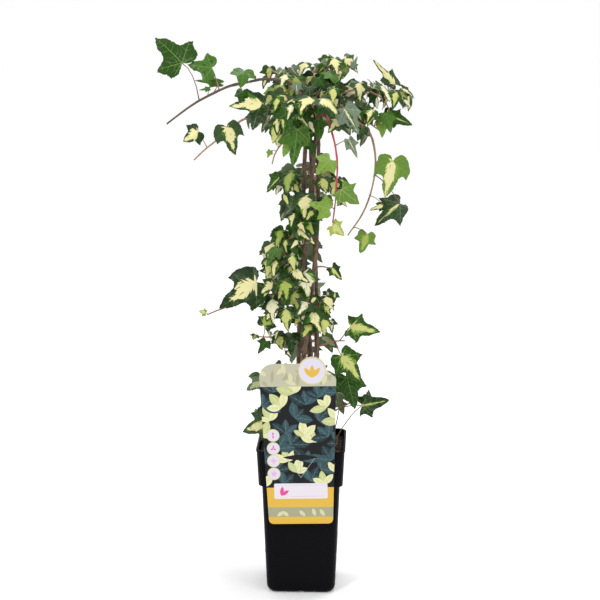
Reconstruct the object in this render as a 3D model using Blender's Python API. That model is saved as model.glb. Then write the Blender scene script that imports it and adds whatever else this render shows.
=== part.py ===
"""A potted variegated ivy: a tall square pot, a hanging card, climbing stems and masses of lobed leaves.

Metres, +Z up, front towards -Y. The origin is the middle of the pot's flat underside.
Azimuths are in degrees from +X towards +Y, so 180 is the left, 270 the front and 90 the back.
"""

import math
import random
from collections import namedtuple

import bmesh
import bpy
from mathutils import Vector
from mathutils.bvhtree import BVHTree

# Pot
POT_HEIGHT = 0.198
RIM_WIDTH = 0.115
COLLAR_FOOT_WIDTH = 0.1105
COLLAR_HEIGHT = 0.049
BODY_TOP_WIDTH = 0.102
BODY_FOOT_WIDTH = 0.091
WALL = 0.0018
LIP_OUT = 0.0008
LIP_HEIGHT = 0.003
CORNER_RADIUS = 0.012
CORNER_STEPS = 3
FOOT_ROUND = 0.007
FOOT_ROUND_HEIGHT = 0.010
POT_FLOOR = 0.003
DRAIN_WIDTH = 0.006
DRAIN_HEIGHT = 0.006
DRAIN_DEPTH = 0.012
STEP_DROP = 0.003
EDGE = 0.001
SMOOTH_PLASTIC = 35

# Soil
SEAT = 0.0003
SEAT_SEARCH = 0.012
SEAT_ROUNDS = 6
SEAT_POINTS = 12
SOIL_BELOW_RIM = 0.008
SOIL_TOP = POT_HEIGHT - SOIL_BELOW_RIM

# Card, hung on the front of the rim
CARD_THICK = 0.0008
CARD_TOP_WIDTH = 0.099
CARD_FOOT_WIDTH = 0.084
CARD_FOOT = 0.101
CARD_SHOULDER = 0.316
CARD_LEAN = math.radians(1.3)
CARD_MIDDLE_X = -0.001
CARD_CORNER = 0.006
SHOULDER_RADIUS = 0.018
RIGHT_CORNER_DROP = 0.016
TAB_RADIUS = 0.0185
TAB_X = 0.0188
TAB_Z = 0.3065
HOOK_WIDTH = 0.036
HOOK_TIP_WIDTH = 0.016
HOOK_DEPTH = 0.0055
CARD_MARGIN = 0.004
POT_MARGIN = 0.001

# Climbing stems, wound loosely about one leaning column
COLUMN_FOOT_X = 0.003
COLUMN_HEAD_X = 0.015
COLUMN_HEAD = 0.640
STEM_SPREAD_FOOT = 0.016
STEM_SPREAD_HEAD = 0.0085
STEM_TWIST = 210.0
STEM_WAVER = 0.10
STEM_WAVES = 9.0
STEM_RINGS = 15
STEM_SIDES = 7
FLARE = 0.55
FLARE_HEIGHT = 0.012
FLARE_SHARES = (0.0, 0.012, 0.03)
FIRST_PLAIN_SHARE = 0.06
STEM_END_MARGIN = 0.002
SMOOTH_BARK = 60

Stem = namedtuple("Stem", "name phase foot_radius tip_radius tip_height")
STEMS = (
    Stem("stem_front_left", 15, 0.0042, 0.0024, 0.636),
    Stem("stem_front_right", 105, 0.0036, 0.0021, 0.628),
    Stem("stem_back_right", 195, 0.0038, 0.0022, 0.622),
    Stem("stem_back_left", 285, 0.0033, 0.0020, 0.631),
)

# Boughs: one with no height starts at the named stem's tip, and any other leaves the stem on its side.
# rise and fall are the slope in degrees at root and tip.
BOUGH_RINGS = 7
BOUGH_SIDES = 6
Bough = namedtuple("Bough", "name stem height azimuth turn rise fall length root_radius tip_radius")
BOUGHS = (
    Bough("bough_left_high", "stem_front_left", None, 184, -2, 58, -18, 0.100, 0.0023, 0.0017),
    Bough("bough_left_low", "stem", 0.612, 205, -18, 52, -30, 0.074, 0.0018, 0.0013),
    Bough("bough_front", "stem", 0.608, 262, 6, 66, 22, 0.036, 0.0017, 0.0014),
    Bough("bough_right_low", "stem_front_right", None, 352, 4, 58, -54, 0.056, 0.0021, 0.0015),
    Bough("bough_front_right", "stem", 0.619, 298, 10, 52, -76, 0.040, 0.0016, 0.0012),
    Bough("bough_right_high", "stem_back_right", None, 12, -6, 72, 8, 0.058, 0.0020, 0.0015),
    Bough("bough_back", "stem", 0.606, 85, 10, 50, 0, 0.048, 0.0018, 0.0014),
    Bough("bough_back_left", "stem", 0.610, 120, 4, 50, -4, 0.050, 0.0018, 0.0014),
    Bough("bough_top", "stem_back_left", None, 95, 0, 88, 62, 0.024, 0.0019, 0.0015),
)

# Twigs and leaves
TWIG_SIDES = 3
TWIG_RINGS = 6
TWIG_RADIUS = 0.0015
TWIG_TIP_RADIUS = 0.0009
SIDE_TWIG_RADIUS = 0.0012
STALK_RADIUS = 0.0009
STALK_TIP_RADIUS = 0.0006
LEAF_THICKNESS = 0.035
LEAST_THICKNESS = 0.0008
LEAF_CREST = 0.30
STALK_VERTS = 6
CLEARANCE = 0.0004
LEAF_TRIES = 14
LEAST_SOLID_LEAF = 0.0205
TWIG_TRIES = 9
TWIG_SWING = 9.0
TWIG_WANDER = 5.0
SIDE_TRIES = 6
SIDE_RINGS = 4
SIDE_FROM = 0.22
SIDE_SPREAD = 0.62
SIDE_PLACE = (0.2, 0.8)
LAST_SHARE = 0.999
SIDE_TURN = (35, 75)
SIDE_RISE = (5, 50)
SIDE_SINK = (-35, 15)
SIDE_FALL = 40
SIDE_LENGTH = (0.45, 0.70)

# Half of the lobed outline, in leaf lengths from the stalk to the tip
HALF_OUTLINE = ((0.36, -0.12), (0.56, 0.31), (0.26, 0.47))
LEAF_TIP = (0.0, 1.0)
LEAF_DROOP = 0.16
LEAF_FOLD = 0.10

# A mass of foliage. root is a bough, or stem with a height, which takes the stem on that side.
# gap is the way between ordinary leaves, 0 for none, leaf their length, face the azimuth that they
# turn to and space the radius of the ball that they keep to.
Mass = namedtuple(
    "Mass", "name root height azimuth turn rise fall length sides gap leaf face space seed"
)
MASSES = (
    Mass("spray_left_high", "bough_left_high", None, 182, 6, -14, -43, 0.119, 0, 0, 0.016, 262, 0.11, 11),
    Mass("spray_left_low", "bough_left_low", None, 187, -4, -30, -46, 0.096, 0, 0, 0.02, 265, 0.08, 12),
    Mass("spray_right", "bough_right_low", None, 352, 0, -62, -126, 0.177, 0, 0, 0.02, 275, 0.115, 13),
    Mass("spray_front", "bough_front_right", None, 320, 0, -78, -104, 0.124, 0, 0, 0.018, 275, 0.085, 14),
    Mass("spray_left_short", "stem", 0.6, 196, 10, 12, -88, 0.062, 0, 0, 0.02, 262, 0.065, 15),
    Mass("crown_front_right", "stem", 0.602, 330, 6, 58, -42, 0.078, 3, 0.014, 0.0308, 290, 0.086, 28),
    Mass("crown_under_left", "stem", 0.602, 236, -10, 30, -7, 0.042, 1, 0.0158, 0.0344, 266, 0.064, 367),
    Mass("crown_front", "bough_front", None, 262, -6, 20, -20, 0.05, 1, 0.0155, 0.032, 264, 0.062, 21),
    Mass("crown_right", "bough_right_high", None, 8, -4, 8, -63, 0.063, 3, 0.0155, 0.0288, 319, 0.062, 585),
    Mass("crown_top", "bough_top", None, 34, -20, 43, 4, 0.066, 3, 0.0135, 0.027, 282, 0.07, 23),
    Mass("crown_back", "bough_back", None, 89, 10, -10, -50, 0.056, 3, 0.017, 0.035, 90, 0.08, 24),
    Mass(
        "crown_back_left", "bough_back_left", None, 120, 8, -1, -42, 0.06, 3, 0.0175, 0.033, 123, 0.073, 394
    ),
    Mass("crown_front_left", "stem", 0.622, 250, -10, 58, -36, 0.05, 2, 0.0154, 0.0316, 258, 0.065, 121),
    Mass("crown_left", "stem", 0.621, 172, 0, 79, 20, 0.07, 3, 0.0183, 0.029, 250, 0.07, 440),
    Mass("crown_back_right", "stem", 0.613, 48, 6, 52, -37, 0.074, 3, 0.0165, 0.0352, 38, 0.08, 31),
    Mass("column_left_1", "stem", 0.542, 205, 10, 30, -49, 0.028, 2, 0.0114, 0.0304, 258, 0.038, 41),
    Mass("column_right_1", "stem", 0.54, 339, 10, 8, -40, 0.033, 2, 0.0135, 0.0256, 277, 0.038, 47),
    Mass("column_back_1", "stem", 0.543, 86, 10, 17, -47, 0.04, 2, 0.0155, 0.031, 80, 0.055, 387),
    Mass("column_left_2", "stem", 0.494, 227, 10, 30, -50, 0.022, 2, 0.0125, 0.0296, 262, 0.034, 236),
    Mass("column_left_6", "stem", 0.467, 196, 10, 30, -50, 0.028, 1, 0.0102, 0.0317, 258, 0.036, 60),
    Mass("column_back_2", "stem", 0.498, 100, 10, 25, -35, 0.042, 1, 0.0155, 0.031, 95, 0.049, 449),
    Mass("column_left_3", "stem", 0.445, 190, 10, 30, -40, 0.04, 3, 0.0116, 0.0319, 265, 0.055, 46),
    Mass("column_right_2", "stem", 0.432, 350, 10, 15, -20, 0.014, 0, 0, 0.02, 285, 0.045, 47),
    Mass("column_back_3", "stem", 0.441, 112, 10, 25, -39, 0.04, 2, 0.0155, 0.031, 112, 0.055, 48),
    Mass("spray_trailing", "stem", 0.398, 188, -4, -2, -27, 0.124, 0, 0, 0.02, 262, 0.1, 49),
    Mass("column_front_1", "stem", 0.42, 250, 10, 20, -60, 0.019, 1, 0.0134, 0.034, 272, 0.05, 50),
    Mass("column_front_3", "stem", 0.521, 251, 10, 20, -50, 0.012, 0, 0.0108, 0.024, 272, 0.043, 244),
    Mass("column_front_4", "stem", 0.478, 250, 10, 20, -50, 0.014, 0, 0.012, 0.029, 265, 0.045, 59),
    Mass("column_right_3", "stem", 0.38, 320, 10, 20, -60, 0.015, 1, 0.0114, 0.0285, 285, 0.048, 441),
    Mass("column_left_4", "stem", 0.38, 189, 0, 15, -35, 0.036, 2, 0.0125, 0.0308, 252, 0.057, 52),
    Mass("column_left_7", "stem", 0.412, 192, 0, 25, -50, 0.029, 1, 0.0125, 0.0319, 249, 0.046, 64),
    Mass("column_back_4", "stem", 0.384, 122, 10, 26, -64, 0.042, 2, 0.0155, 0.0295, 140, 0.055, 455),
    Mass("column_left_5", "stem", 0.338, 184, 0, 0, 0, 0.052, 0, 0.02, 0.0215, 256, 0.055, 54),
    Mass("column_front_2", "stem", 0.366, 285, 10, 20, -50, 0.024, 1, 0.0135, 0.0319, 272, 0.05, 55),
    Mass("column_right_4", "stem", 0.325, 352, 0, 22, 6, 0.035, 0, 0, 0.026, 285, 0.07, 56),
    Mass("column_back_5", "stem", 0.322, 84, 10, 20, -50, 0.044, 2, 0.0166, 0.033, 88, 0.064, 57),
    Mass("base_right", "stem", 0.222, 350, 0, 30, 30, 0.06, 0, 0, 0.03, 285, 0.09, 61),
    Mass("base_left", "stem", 0.228, 190, 10, 25, -20, 0.046, 0, 0.018, 0.028, 255, 0.075, 62),
    Mass("base_back_left", "stem", 0.262, 112, 10, 34, -35, 0.057, 2, 0.0165, 0.0307, 103, 0.062, 294),
    Mass("base_back_right", "stem", 0.252, 74, 10, 25, -35, 0.056, 2, 0.0165, 0.032, 62, 0.07, 65),
)

# Single leaves that give the plant its outline: place along the twig, stalk, length, tip angle seen
# from the front (0 is right, 90 is up), width against a common leaf and lean of the tip to the front.
Feature = namedtuple("Feature", "at stalk length tip width lean")
FEATURES = {
    "spray_left_high": (
        Feature(0.57, (-0.021, -0.006, 0.048), 0.046, 131, 1.15, 0.05),
        Feature(0.33, (-0.009, -0.004, 0.029), 0.031, 172, 1.10, 0.10),
        Feature(0.40, (0.008, 0.012, 0.012), 0.034, 178, 0.35, 0.10),
        Feature(0.04, (-0.001, -0.004, 0.015), 0.025, 268, 1.20, 0.50),
        Feature(0.10, (0.004, -0.005, -0.009), 0.021, 262, 0.80, 0.15),
    ),
    "spray_left_low": (
        Feature(0.05, (0.016, -0.016, 0.018), 0.042, 196, 0.80, 0.05),
        Feature(0.05, (0.009, -0.008, 0.004), 0.021, 252, 1.10, 0.20),
        Feature(0.26, (-0.012, -0.007, -0.003), 0.037, 289, 0.95, 0.15),
        Feature(0.76, (-0.011, -0.004, 0.021), 0.023, 215, 1.20, 0.10),
    ),
    "spray_right": (
        Feature(0.435, (0.023, -0.004, 0.006), 0.049, 262, 0.85, 0.10),
        Feature(0.50, (0.034, 0.014, -0.040), 0.045, 219, 0.80, 0.00),
        Feature(0.93, (0.018, -0.003, -0.008), 0.027, 254, 0.95, 0.10),
    ),
    "spray_front": (
        Feature(0.20, (0.017, -0.002, 0.008), 0.026, 300, 0.60, 0.10),
        Feature(0.42, (-0.009, -0.006, 0.010), 0.026, 225, 1.10, 0.15),
        Feature(0.66, (0.007, -0.006, 0.002), 0.029, 322, 1.10, 0.15),
        Feature(0.86, (-0.006, -0.010, 0.002), 0.027, 160, 1.10, 0.10),
        Feature(0.99, (0.000, -0.004, -0.004), 0.020, 322, 1.10, 0.10),
    ),
    "spray_left_short": (
        Feature(0.72, (-0.008, -0.002, 0.001), 0.010, 250, 0.80, 0.10),
    ),
    "crown_front_right": (
        Feature(0.56, (0.004, -0.026, 0.012), 0.036, 303, 0.85, 0.20),
        Feature(0.38, (0.009, -0.020, 0.000), 0.022, 225, 0.95, 0.20),
    ),
    "crown_right": (
        Feature(0.72, (0.018, 0.004, 0.018), 0.043, 133, 0.42, 0.05),
        Feature(0.78, (0.022, -0.002, 0.012), 0.022, 290, 0.95, 0.20),
        Feature(0.97, (0.002, -0.006, -0.010), 0.030, 345, 0.80, 0.15),
    ),
    "crown_top": (
        Feature(0.82, (0.007, -0.004, 0.009), 0.022, 134, 0.45, 0.05),
        Feature(0.98, (0.012, -0.002, 0.005), 0.016, 68, 0.60, 0.05),
    ),
    "crown_under_left": (
        Feature(0.38, (0.000, -0.026, 0.005), 0.047, 264, 0.80, 0.15),
    ),
    "spray_trailing": (
        Feature(0.14, (-0.037, -0.010, 0.016), 0.060, 215, 0.85, 0.12),
        Feature(0.52, (0.010, 0.006, 0.003), 0.024, 232, 0.90, 0.00),
        Feature(0.99, (-0.003, 0.000, 0.002), 0.009, 160, 1.10, 0.10),
    ),
    "column_front_3": (
        Feature(0.50, (-0.002, -0.010, 0.006), 0.029, 268, 0.90, 0.20),
    ),
    "column_front_4": (
        Feature(0.50, (-0.006, -0.010, 0.008), 0.024, 315, 0.85, 0.20),
    ),
    "column_front_1": (
        Feature(0.60, (0.008, -0.012, 0.009), 0.036, 284, 0.85, 0.20),
    ),
    "column_front_2": (
        Feature(0.45, (0.002, -0.012, 0.011), 0.031, 292, 0.80, 0.20),
    ),
    "column_left_5": (
        Feature(0.85, (0.002, -0.010, 0.018), 0.026, 60, 0.90, 0.10),
        Feature(0.45, (-0.001, -0.006, 0.002), 0.019, 290, 1.05, 0.15),
    ),
    "column_right_2": (
        Feature(0.96, (0.006, -0.003, 0.001), 0.021, 312, 0.85, 0.15),
    ),
    "column_right_4": (
        Feature(0.80, (0.014, -0.004, 0.020), 0.039, 352, 0.85, 0.15),
        Feature(0.62, (0.009, -0.010, -0.017), 0.045, 310, 0.85, 0.15),
    ),
    "base_right": (
        Feature(0.55, (0.030, -0.012, 0.007), 0.036, 12, 0.85, 0.12),
        Feature(0.90, (-0.008, -0.006, 0.034), 0.043, 284, 0.90, 0.15),
    ),
    "base_left": (
        Feature(0.92, (0.006, -0.012, -0.006), 0.034, 196, 1.10, 0.15),
    ),
}

# How ordinary leaves hang: shares of the pull outwards, sideways and down, and the seeded scatter
STALK_SIDE = 0.85
STALK_UP = 0.55
STALK_ALONG = 0.35
TIP_OUT = 0.45
TIP_SIDE = 0.45
TIP_DOWN = 0.80
FACE_RISE = 32.0
SCATTER = 0.42
FACE_SCATTER = 0.42
STALK_SHARE = (0.45, 0.85)
SIZE_SHARE = (0.78, 1.20)
TIP_SIZE_LOSS = 0.40
WIDTH_SHARE = (0.85, 1.10)
TRY_SHRINK = 0.03
LEAFY_SHARE = 0.86
FIRST_LEAF = 0.14
FIRST_SIDE_LEAF = 0.35
LAST_LEAF = 0.99
BACKTRACK = 0.35
UPRIGHT = 0.2
FEATURE_FACE = (0.10, -1.0, 0.40)

POT_COLOUR = (0.012, 0.012, 0.013, 1.0)
SOIL_COLOUR = (0.045, 0.028, 0.018, 1.0)
CARD_COLOUR = (0.30, 0.31, 0.20, 1.0)
STEM_COLOUR = (0.16, 0.085, 0.045, 1.0)
BOUGH_COLOUR = (0.20, 0.11, 0.06, 1.0)
LEAF_COLOUR = (0.07, 0.17, 0.045, 1.0)

Leaf = namedtuple("Leaf", "root base across along up length width")
Twig = namedtuple("Twig", "points radii")
Growth = namedtuple("Growth", "twigs features leaves")
Placed = namedtuple("Placed", "tree centre reach owner kind")


def clear_scene():
    for item in list(bpy.data.objects):
        bpy.data.objects.remove(item, do_unlink=True)


def make_material(name, colour, roughness, metallic=0.0):
    material = bpy.data.materials.new(name)
    material.use_nodes = True
    shader = material.node_tree.nodes["Principled BSDF"]
    shader.inputs["Base Color"].default_value = colour
    shader.inputs["Roughness"].default_value = roughness
    shader.inputs["Metallic"].default_value = metallic
    material.diffuse_color = colour
    return material


def add_object(name, shape, material, smooth_angle=None):
    verts, faces = shape
    mesh = bpy.data.meshes.new(name)
    mesh.from_pydata([tuple(v) for v in verts], [], faces)
    mesh.materials.append(material)
    if smooth_angle is not None:
        mesh.shade_smooth()
        mesh.set_sharp_from_angle(angle=math.radians(smooth_angle))
    made = bpy.data.objects.new(name, mesh)
    bpy.context.scene.collection.objects.link(made)
    return made


def direction(azimuth, rise):
    """Unit vector from an azimuth and a slope in degrees."""
    a = math.radians(azimuth)
    r = math.radians(rise)
    return Vector((math.cos(a) * math.cos(r), math.sin(a) * math.cos(r), math.sin(r)))


def square_ring(width, z, radius):
    """Points of a square with rounded corners, anticlockwise from above."""
    points = []
    centre = width / 2 - radius
    for corner in range(4):
        turn = math.radians(90 * corner)
        across = Vector((math.cos(turn), math.sin(turn), 0))
        back = Vector((-math.sin(turn), math.cos(turn), 0))
        for step in range(CORNER_STEPS + 1):
            bend = math.radians(90 * step / CORNER_STEPS)
            spot = across * (centre + radius * math.cos(bend)) + back * (centre + radius * math.sin(bend))
            points.append(spot + Vector((0, 0, z)))
    return points


def stacked_rings(rings):
    """Closed shape through rings of equally many points, from the bottom ring up."""
    count = len(rings[0])
    verts = [point for ring in rings for point in ring]
    faces = []
    for level in range(len(rings) - 1):
        for k in range(count):
            a = level * count + k
            b = level * count + (k + 1) % count
            faces.append((a, b, b + count, a + count))
    faces.append(tuple(reversed(range(count))))
    top = (len(rings) - 1) * count
    faces.append(tuple(range(top, top + count)))
    return verts, faces


def inner_profile(gap):
    """Width and height of the pot's inside from its floor to its rim, moved in by a gap."""
    collar_foot = POT_HEIGHT - COLLAR_HEIGHT
    inset = 2 * (WALL + gap)
    return (
        (BODY_FOOT_WIDTH - inset - 2 * FOOT_ROUND, POT_FLOOR + gap),
        (BODY_FOOT_WIDTH - inset, POT_FLOOR + FOOT_ROUND_HEIGHT + gap),
        (BODY_TOP_WIDTH - inset, collar_foot - STEP_DROP / 2),
        (COLLAR_FOOT_WIDTH - inset, collar_foot + STEP_DROP),
        (RIM_WIDTH - inset, POT_HEIGHT),
    )


def pot_shape():
    collar_foot = POT_HEIGHT - COLLAR_HEIGHT
    rings = []
    for step in range(CORNER_STEPS + 1):
        bend = math.radians(90 * step / CORNER_STEPS)
        inset = FOOT_ROUND * (1 - math.sin(bend))
        height = FOOT_ROUND_HEIGHT * (1 - math.cos(bend))
        rings.append(square_ring(BODY_FOOT_WIDTH - 2 * inset, height, CORNER_RADIUS - inset / 2))
    rings.append(square_ring(BODY_TOP_WIDTH, collar_foot, CORNER_RADIUS))
    rings.append(square_ring(COLLAR_FOOT_WIDTH - EDGE, collar_foot, CORNER_RADIUS))
    rings.append(square_ring(COLLAR_FOOT_WIDTH, collar_foot + EDGE, CORNER_RADIUS))
    rings.append(square_ring(RIM_WIDTH, POT_HEIGHT - LIP_HEIGHT, CORNER_RADIUS))
    rings.append(square_ring(RIM_WIDTH + 2 * LIP_OUT, POT_HEIGHT - LIP_HEIGHT + LIP_OUT, CORNER_RADIUS))
    rings.append(square_ring(RIM_WIDTH + 2 * LIP_OUT, POT_HEIGHT, CORNER_RADIUS))
    for width, height in reversed(inner_profile(0.0)):
        rings.append(square_ring(width, height, CORNER_RADIUS - WALL))
    return stacked_rings(rings)


def box_shape(low, high):
    ring = [(low[0], low[1]), (high[0], low[1]), (high[0], high[1]), (low[0], high[1])]
    rings = [[Vector((x, y, z)) for x, y in ring] for z in (low[2], high[2])]
    return stacked_rings(rings)


def make_pot(material):
    pot = add_object("pot", pot_shape(), material, SMOOTH_PLASTIC)
    half = BODY_FOOT_WIDTH / 2
    for side in range(4):
        low = (half - DRAIN_DEPTH, -DRAIN_WIDTH / 2, -DRAIN_HEIGHT)
        high = (half + DRAIN_DEPTH, DRAIN_WIDTH / 2, DRAIN_HEIGHT)
        cutter = add_object("drain_cutter_%d" % side, box_shape(low, high), material)
        cutter.rotation_euler.z = math.radians(90 * side)
        cutter.hide_render = True
        cutter.display_type = "WIRE"
        cut = pot.modifiers.new("drain_%d" % side, "BOOLEAN")
        cut.operation = "DIFFERENCE"
        cut.object = cutter
    return pot


def make_soil(material):
    *lower, collar, rim = inner_profile(SEAT)
    rings = []
    for width, height in lower + [collar]:
        rings.append(square_ring(width, height, CORNER_RADIUS - WALL))
    slope = (rim[0] - collar[0]) / (rim[1] - collar[1])
    top_width = collar[0] + slope * (SOIL_TOP - collar[1])
    rings.append(square_ring(top_width, SOIL_TOP, CORNER_RADIUS - WALL))
    return add_object("soil", stacked_rings(rings), material, SMOOTH_PLASTIC)


def arc(centre_x, centre_z, radius, start, end, steps):
    points = []
    for step in range(steps + 1):
        turn = math.radians(start + (end - start) * step / steps)
        points.append((centre_x + radius * math.cos(turn), centre_z + radius * math.sin(turn)))
    return points


def card_outline():
    """Front outline of the card, anticlockwise, before its lean."""
    foot = CARD_FOOT_WIDTH / 2
    top = CARD_TOP_WIDTH / 2
    r = CARD_CORNER
    points = arc(-foot + r, CARD_FOOT + r, r, 180, 270, 3)
    points += arc(foot - r, CARD_FOOT + r, r, 270, 360, 3)
    points += arc(top - r, CARD_SHOULDER - RIGHT_CORNER_DROP - r, r, 0, 60, 3)
    points += arc(TAB_X, TAB_Z, TAB_RADIUS, 0, 150, 8)
    points += arc(-top + SHOULDER_RADIUS, CARD_SHOULDER - SHOULDER_RADIUS, SHOULDER_RADIUS, 90, 180, 5)
    return points


def card_back():
    """Y of the card's rear face, just clear of the lip."""
    return -(RIM_WIDTH / 2 + LIP_OUT + SEAT)


def leaned(x, z):
    """A point of the card's face turned about the middle of its hook."""
    dz = z - POT_HEIGHT
    return (
        CARD_MIDDLE_X + x * math.cos(CARD_LEAN) - dz * math.sin(CARD_LEAN),
        POT_HEIGHT + x * math.sin(CARD_LEAN) + dz * math.cos(CARD_LEAN),
    )


def make_card(material):
    back = card_back()
    rings = []
    for y in (back, back - CARD_THICK):
        ring = [leaned(x, z) for x, z in card_outline()]
        rings.append([Vector((x, y, z)) for x, z in ring])
    card = add_object("label_card", stacked_rings(rings), material)
    inner = -(RIM_WIDTH / 2 - WALL - SEAT)
    over = POT_HEIGHT + SEAT
    under = POT_HEIGHT - HOOK_DEPTH
    side = [
        (back - CARD_THICK / 2, over),
        (inner, over),
        (inner, under),
        (inner + CARD_THICK, under),
        (inner + CARD_THICK, over + CARD_THICK),
        (back - CARD_THICK / 2, over + CARD_THICK),
    ]
    rings = []
    for end in (-0.5, 0.5):
        ring = []
        for y, z in side:
            width = HOOK_TIP_WIDTH if z == under else HOOK_WIDTH
            ring.append(Vector((CARD_MIDDLE_X + end * width, y, z)))
        rings.append(ring)
    hook = add_object("card_hook", stacked_rings(rings), material)
    hook.hide_render = True
    hook.display_type = "WIRE"
    join = card.modifiers.new("hook", "BOOLEAN")
    join.operation = "UNION"
    join.object = hook
    return card


def tube(points, radii, sides, first_along=None):
    """Closed tapering tube through points, with flat ends."""
    last = len(points) - 1
    rings = []
    side = None
    for i, point in enumerate(points):
        along = (points[min(i + 1, last)] - points[max(i - 1, 0)]).normalized()
        if i == 0 and first_along is not None:
            along = first_along
        if side is None:
            side = along.orthogonal()
        side = (side - along * side.dot(along)).normalized()
        other = along.cross(side)
        ring = []
        for k in range(sides):
            turn = 2 * math.pi * k / sides
            ring.append(point + (side * math.cos(turn) + other * math.sin(turn)) * radii[i])
        rings.append(ring)
    return stacked_rings(rings)


def tapered(start, end, count):
    return [start + (end - start) * i / (count - 1) for i in range(count)]


def curved_path(start, azimuth, turn, rise, fall, length, rings, rng=None, wander=0.0):
    """Line that leaves start along azimuth and rise and bends evenly until it points along fall."""
    points = [start.copy()]
    steps = rings - 1
    for i in range(steps):
        t = (i + 0.5) / steps
        a = azimuth + turn * t
        r = rise + (fall - rise) * t
        if rng is not None:
            a += rng.uniform(-wander, wander)
            r += rng.uniform(-wander, wander)
        points.append(points[-1] + direction(a, r) * (length / steps))
    return points


def stem_centre(stem, t):
    """Centre of a stem at a share t of its way from the soil to its tip."""
    foot = SOIL_TOP + SEAT
    z = foot + (stem.tip_height - foot) * t
    lean = (z - foot) / (COLUMN_HEAD - foot)
    x = COLUMN_FOOT_X + (COLUMN_HEAD_X - COLUMN_FOOT_X) * lean
    spread = STEM_SPREAD_FOOT + (STEM_SPREAD_HEAD - STEM_SPREAD_FOOT) * math.sqrt(lean)
    spread *= 1 + STEM_WAVER * math.sin(STEM_WAVES * lean + math.radians(stem.phase))
    turn = math.radians(stem.phase + STEM_TWIST * lean)
    return Vector((x + spread * math.cos(turn), spread * math.sin(turn), z))


def stem_radius(stem, t):
    foot = SOIL_TOP + SEAT
    height = (stem.tip_height - foot) * t
    plain = stem.foot_radius + (stem.tip_radius - stem.foot_radius) * t
    return plain * (1 + FLARE * math.exp(-height / FLARE_HEIGHT))


def stem_limb(stem):
    shares = list(FLARE_SHARES)
    plain = STEM_RINGS - len(shares)
    shares += [FIRST_PLAIN_SHARE + (1 - FIRST_PLAIN_SHARE) * i / (plain - 1) for i in range(plain)]
    points = [stem_centre(stem, t) for t in shares]
    radii = [stem_radius(stem, t) for t in shares]
    return Twig(points, radii)


def gap_to(tree, points):
    return min(tree.find_nearest(point)[3] for point in points)


def seated_start(limb_tree, near, out, radius):
    """Start of a limb whose flat end faces near along out, with the seat's gap to the limb it leaves."""
    side = out.orthogonal().normalized()
    other = out.cross(side)
    away = SEAT_SEARCH
    for _ in range(SEAT_ROUNDS):
        spot = near + out * away
        rim = [spot]
        for k in range(SEAT_POINTS):
            turn = 2 * math.pi * k / SEAT_POINTS
            rim.append(spot + (side * math.cos(turn) + other * math.sin(turn)) * radius)
        away += SEAT - gap_to(limb_tree, rim)
    return near + out * away


def point_at(limb, height):
    """Centre of an upright limb at a height."""
    for low, high in zip(limb.points, limb.points[1:]):
        if low.z <= height <= high.z:
            return low.lerp(high, (height - low.z) / (high.z - low.z))
    return limb.points[-1]


def stem_on_side(height, azimuth, limbs):
    """Name of the stem that stands furthest towards an azimuth at a height."""
    out = direction(azimuth, 0)
    tall = [stem.name for stem in STEMS if stem.tip_height > height + STEM_END_MARGIN]
    return max(tall, key=lambda name: point_at(limbs[name], height).dot(out))


def start_on(root, height, azimuth, rise, radius, limbs, trees):
    """Where a bough or twig starts, along what and on which limb: at its tip, or at a stem's side."""
    if height is None:
        limb = limbs[root]
        end = limb.points[-1]
        along = (end - limb.points[-2]).normalized()
        return end + along * SEAT, along, root
    name = stem_on_side(height, azimuth, limbs)
    out = direction(azimuth, rise)
    return seated_start(trees[name], point_at(limbs[name], height), out, radius), out, name


def with_first_step(start, along, rest):
    """Keeps the first stretch of a path in line with the end that it faces."""
    shift = start + along * (rest[1] - rest[0]).length - rest[1]
    return [start] + [point + shift for point in rest[1:]]


def bough_limb(bough, limbs, trees):
    start, along, _ = start_on(
        bough.stem, bough.height, bough.azimuth, bough.rise, bough.root_radius, limbs, trees
    )
    path = curved_path(
        start, bough.azimuth, bough.turn, bough.rise, bough.fall, bough.length, BOUGH_RINGS
    )
    path = with_first_step(start, along, path)
    return Twig(path, tapered(bough.root_radius, bough.tip_radius, BOUGH_RINGS))


def blade_height(x, y):
    """Height of a leaf's surface over its flat plane, in leaf lengths."""
    return -LEAF_DROOP * y * y - LEAF_FOLD * abs(x)


def leaf_solid(leaf, grow=0.0):
    """Closed leaf and stalk: a thin lens in the lobed outline, run into a three-sided stalk."""
    size = leaf.length
    outline = [(x * leaf.width, y) for x, y in HALF_OUTLINE]
    chain = outline + [LEAF_TIP] + [(-x, y) for x, y in reversed(outline)]
    verts = []
    for x, y in chain:
        away = Vector((x, y - LEAF_CREST)).normalized() * (grow / size)
        x += away.x
        y += away.y
        lift = blade_height(x, y)
        verts.append(leaf.base + (leaf.across * x + leaf.along * y + leaf.up * lift) * size)
    count = len(verts)
    half = max(LEAF_THICKNESS * size, LEAST_THICKNESS) / 2 + grow
    crest = leaf.base + (leaf.along * LEAF_CREST + leaf.up * blade_height(0, LEAF_CREST)) * size
    verts.append(crest + leaf.up * half)
    verts.append(crest - leaf.up * half)
    verts += stalk_rings(leaf, grow)
    top, under = count, count + 1
    a0, b0, c0, a, b, c = range(count + 2, count + 2 + STALK_VERTS)
    ring = [b] + list(range(count)) + [c]
    faces = []
    for first, second in zip(ring, ring[1:]):
        faces.append((top, first, second))
        faces.append((under, second, first))
    faces += [(top, c, a), (top, a, b), (under, b, c)]
    faces += [(a0, b0, b, a), (b0, c0, c, b), (c0, a0, a, c), (c0, b0, a0)]
    return verts, faces


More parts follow.
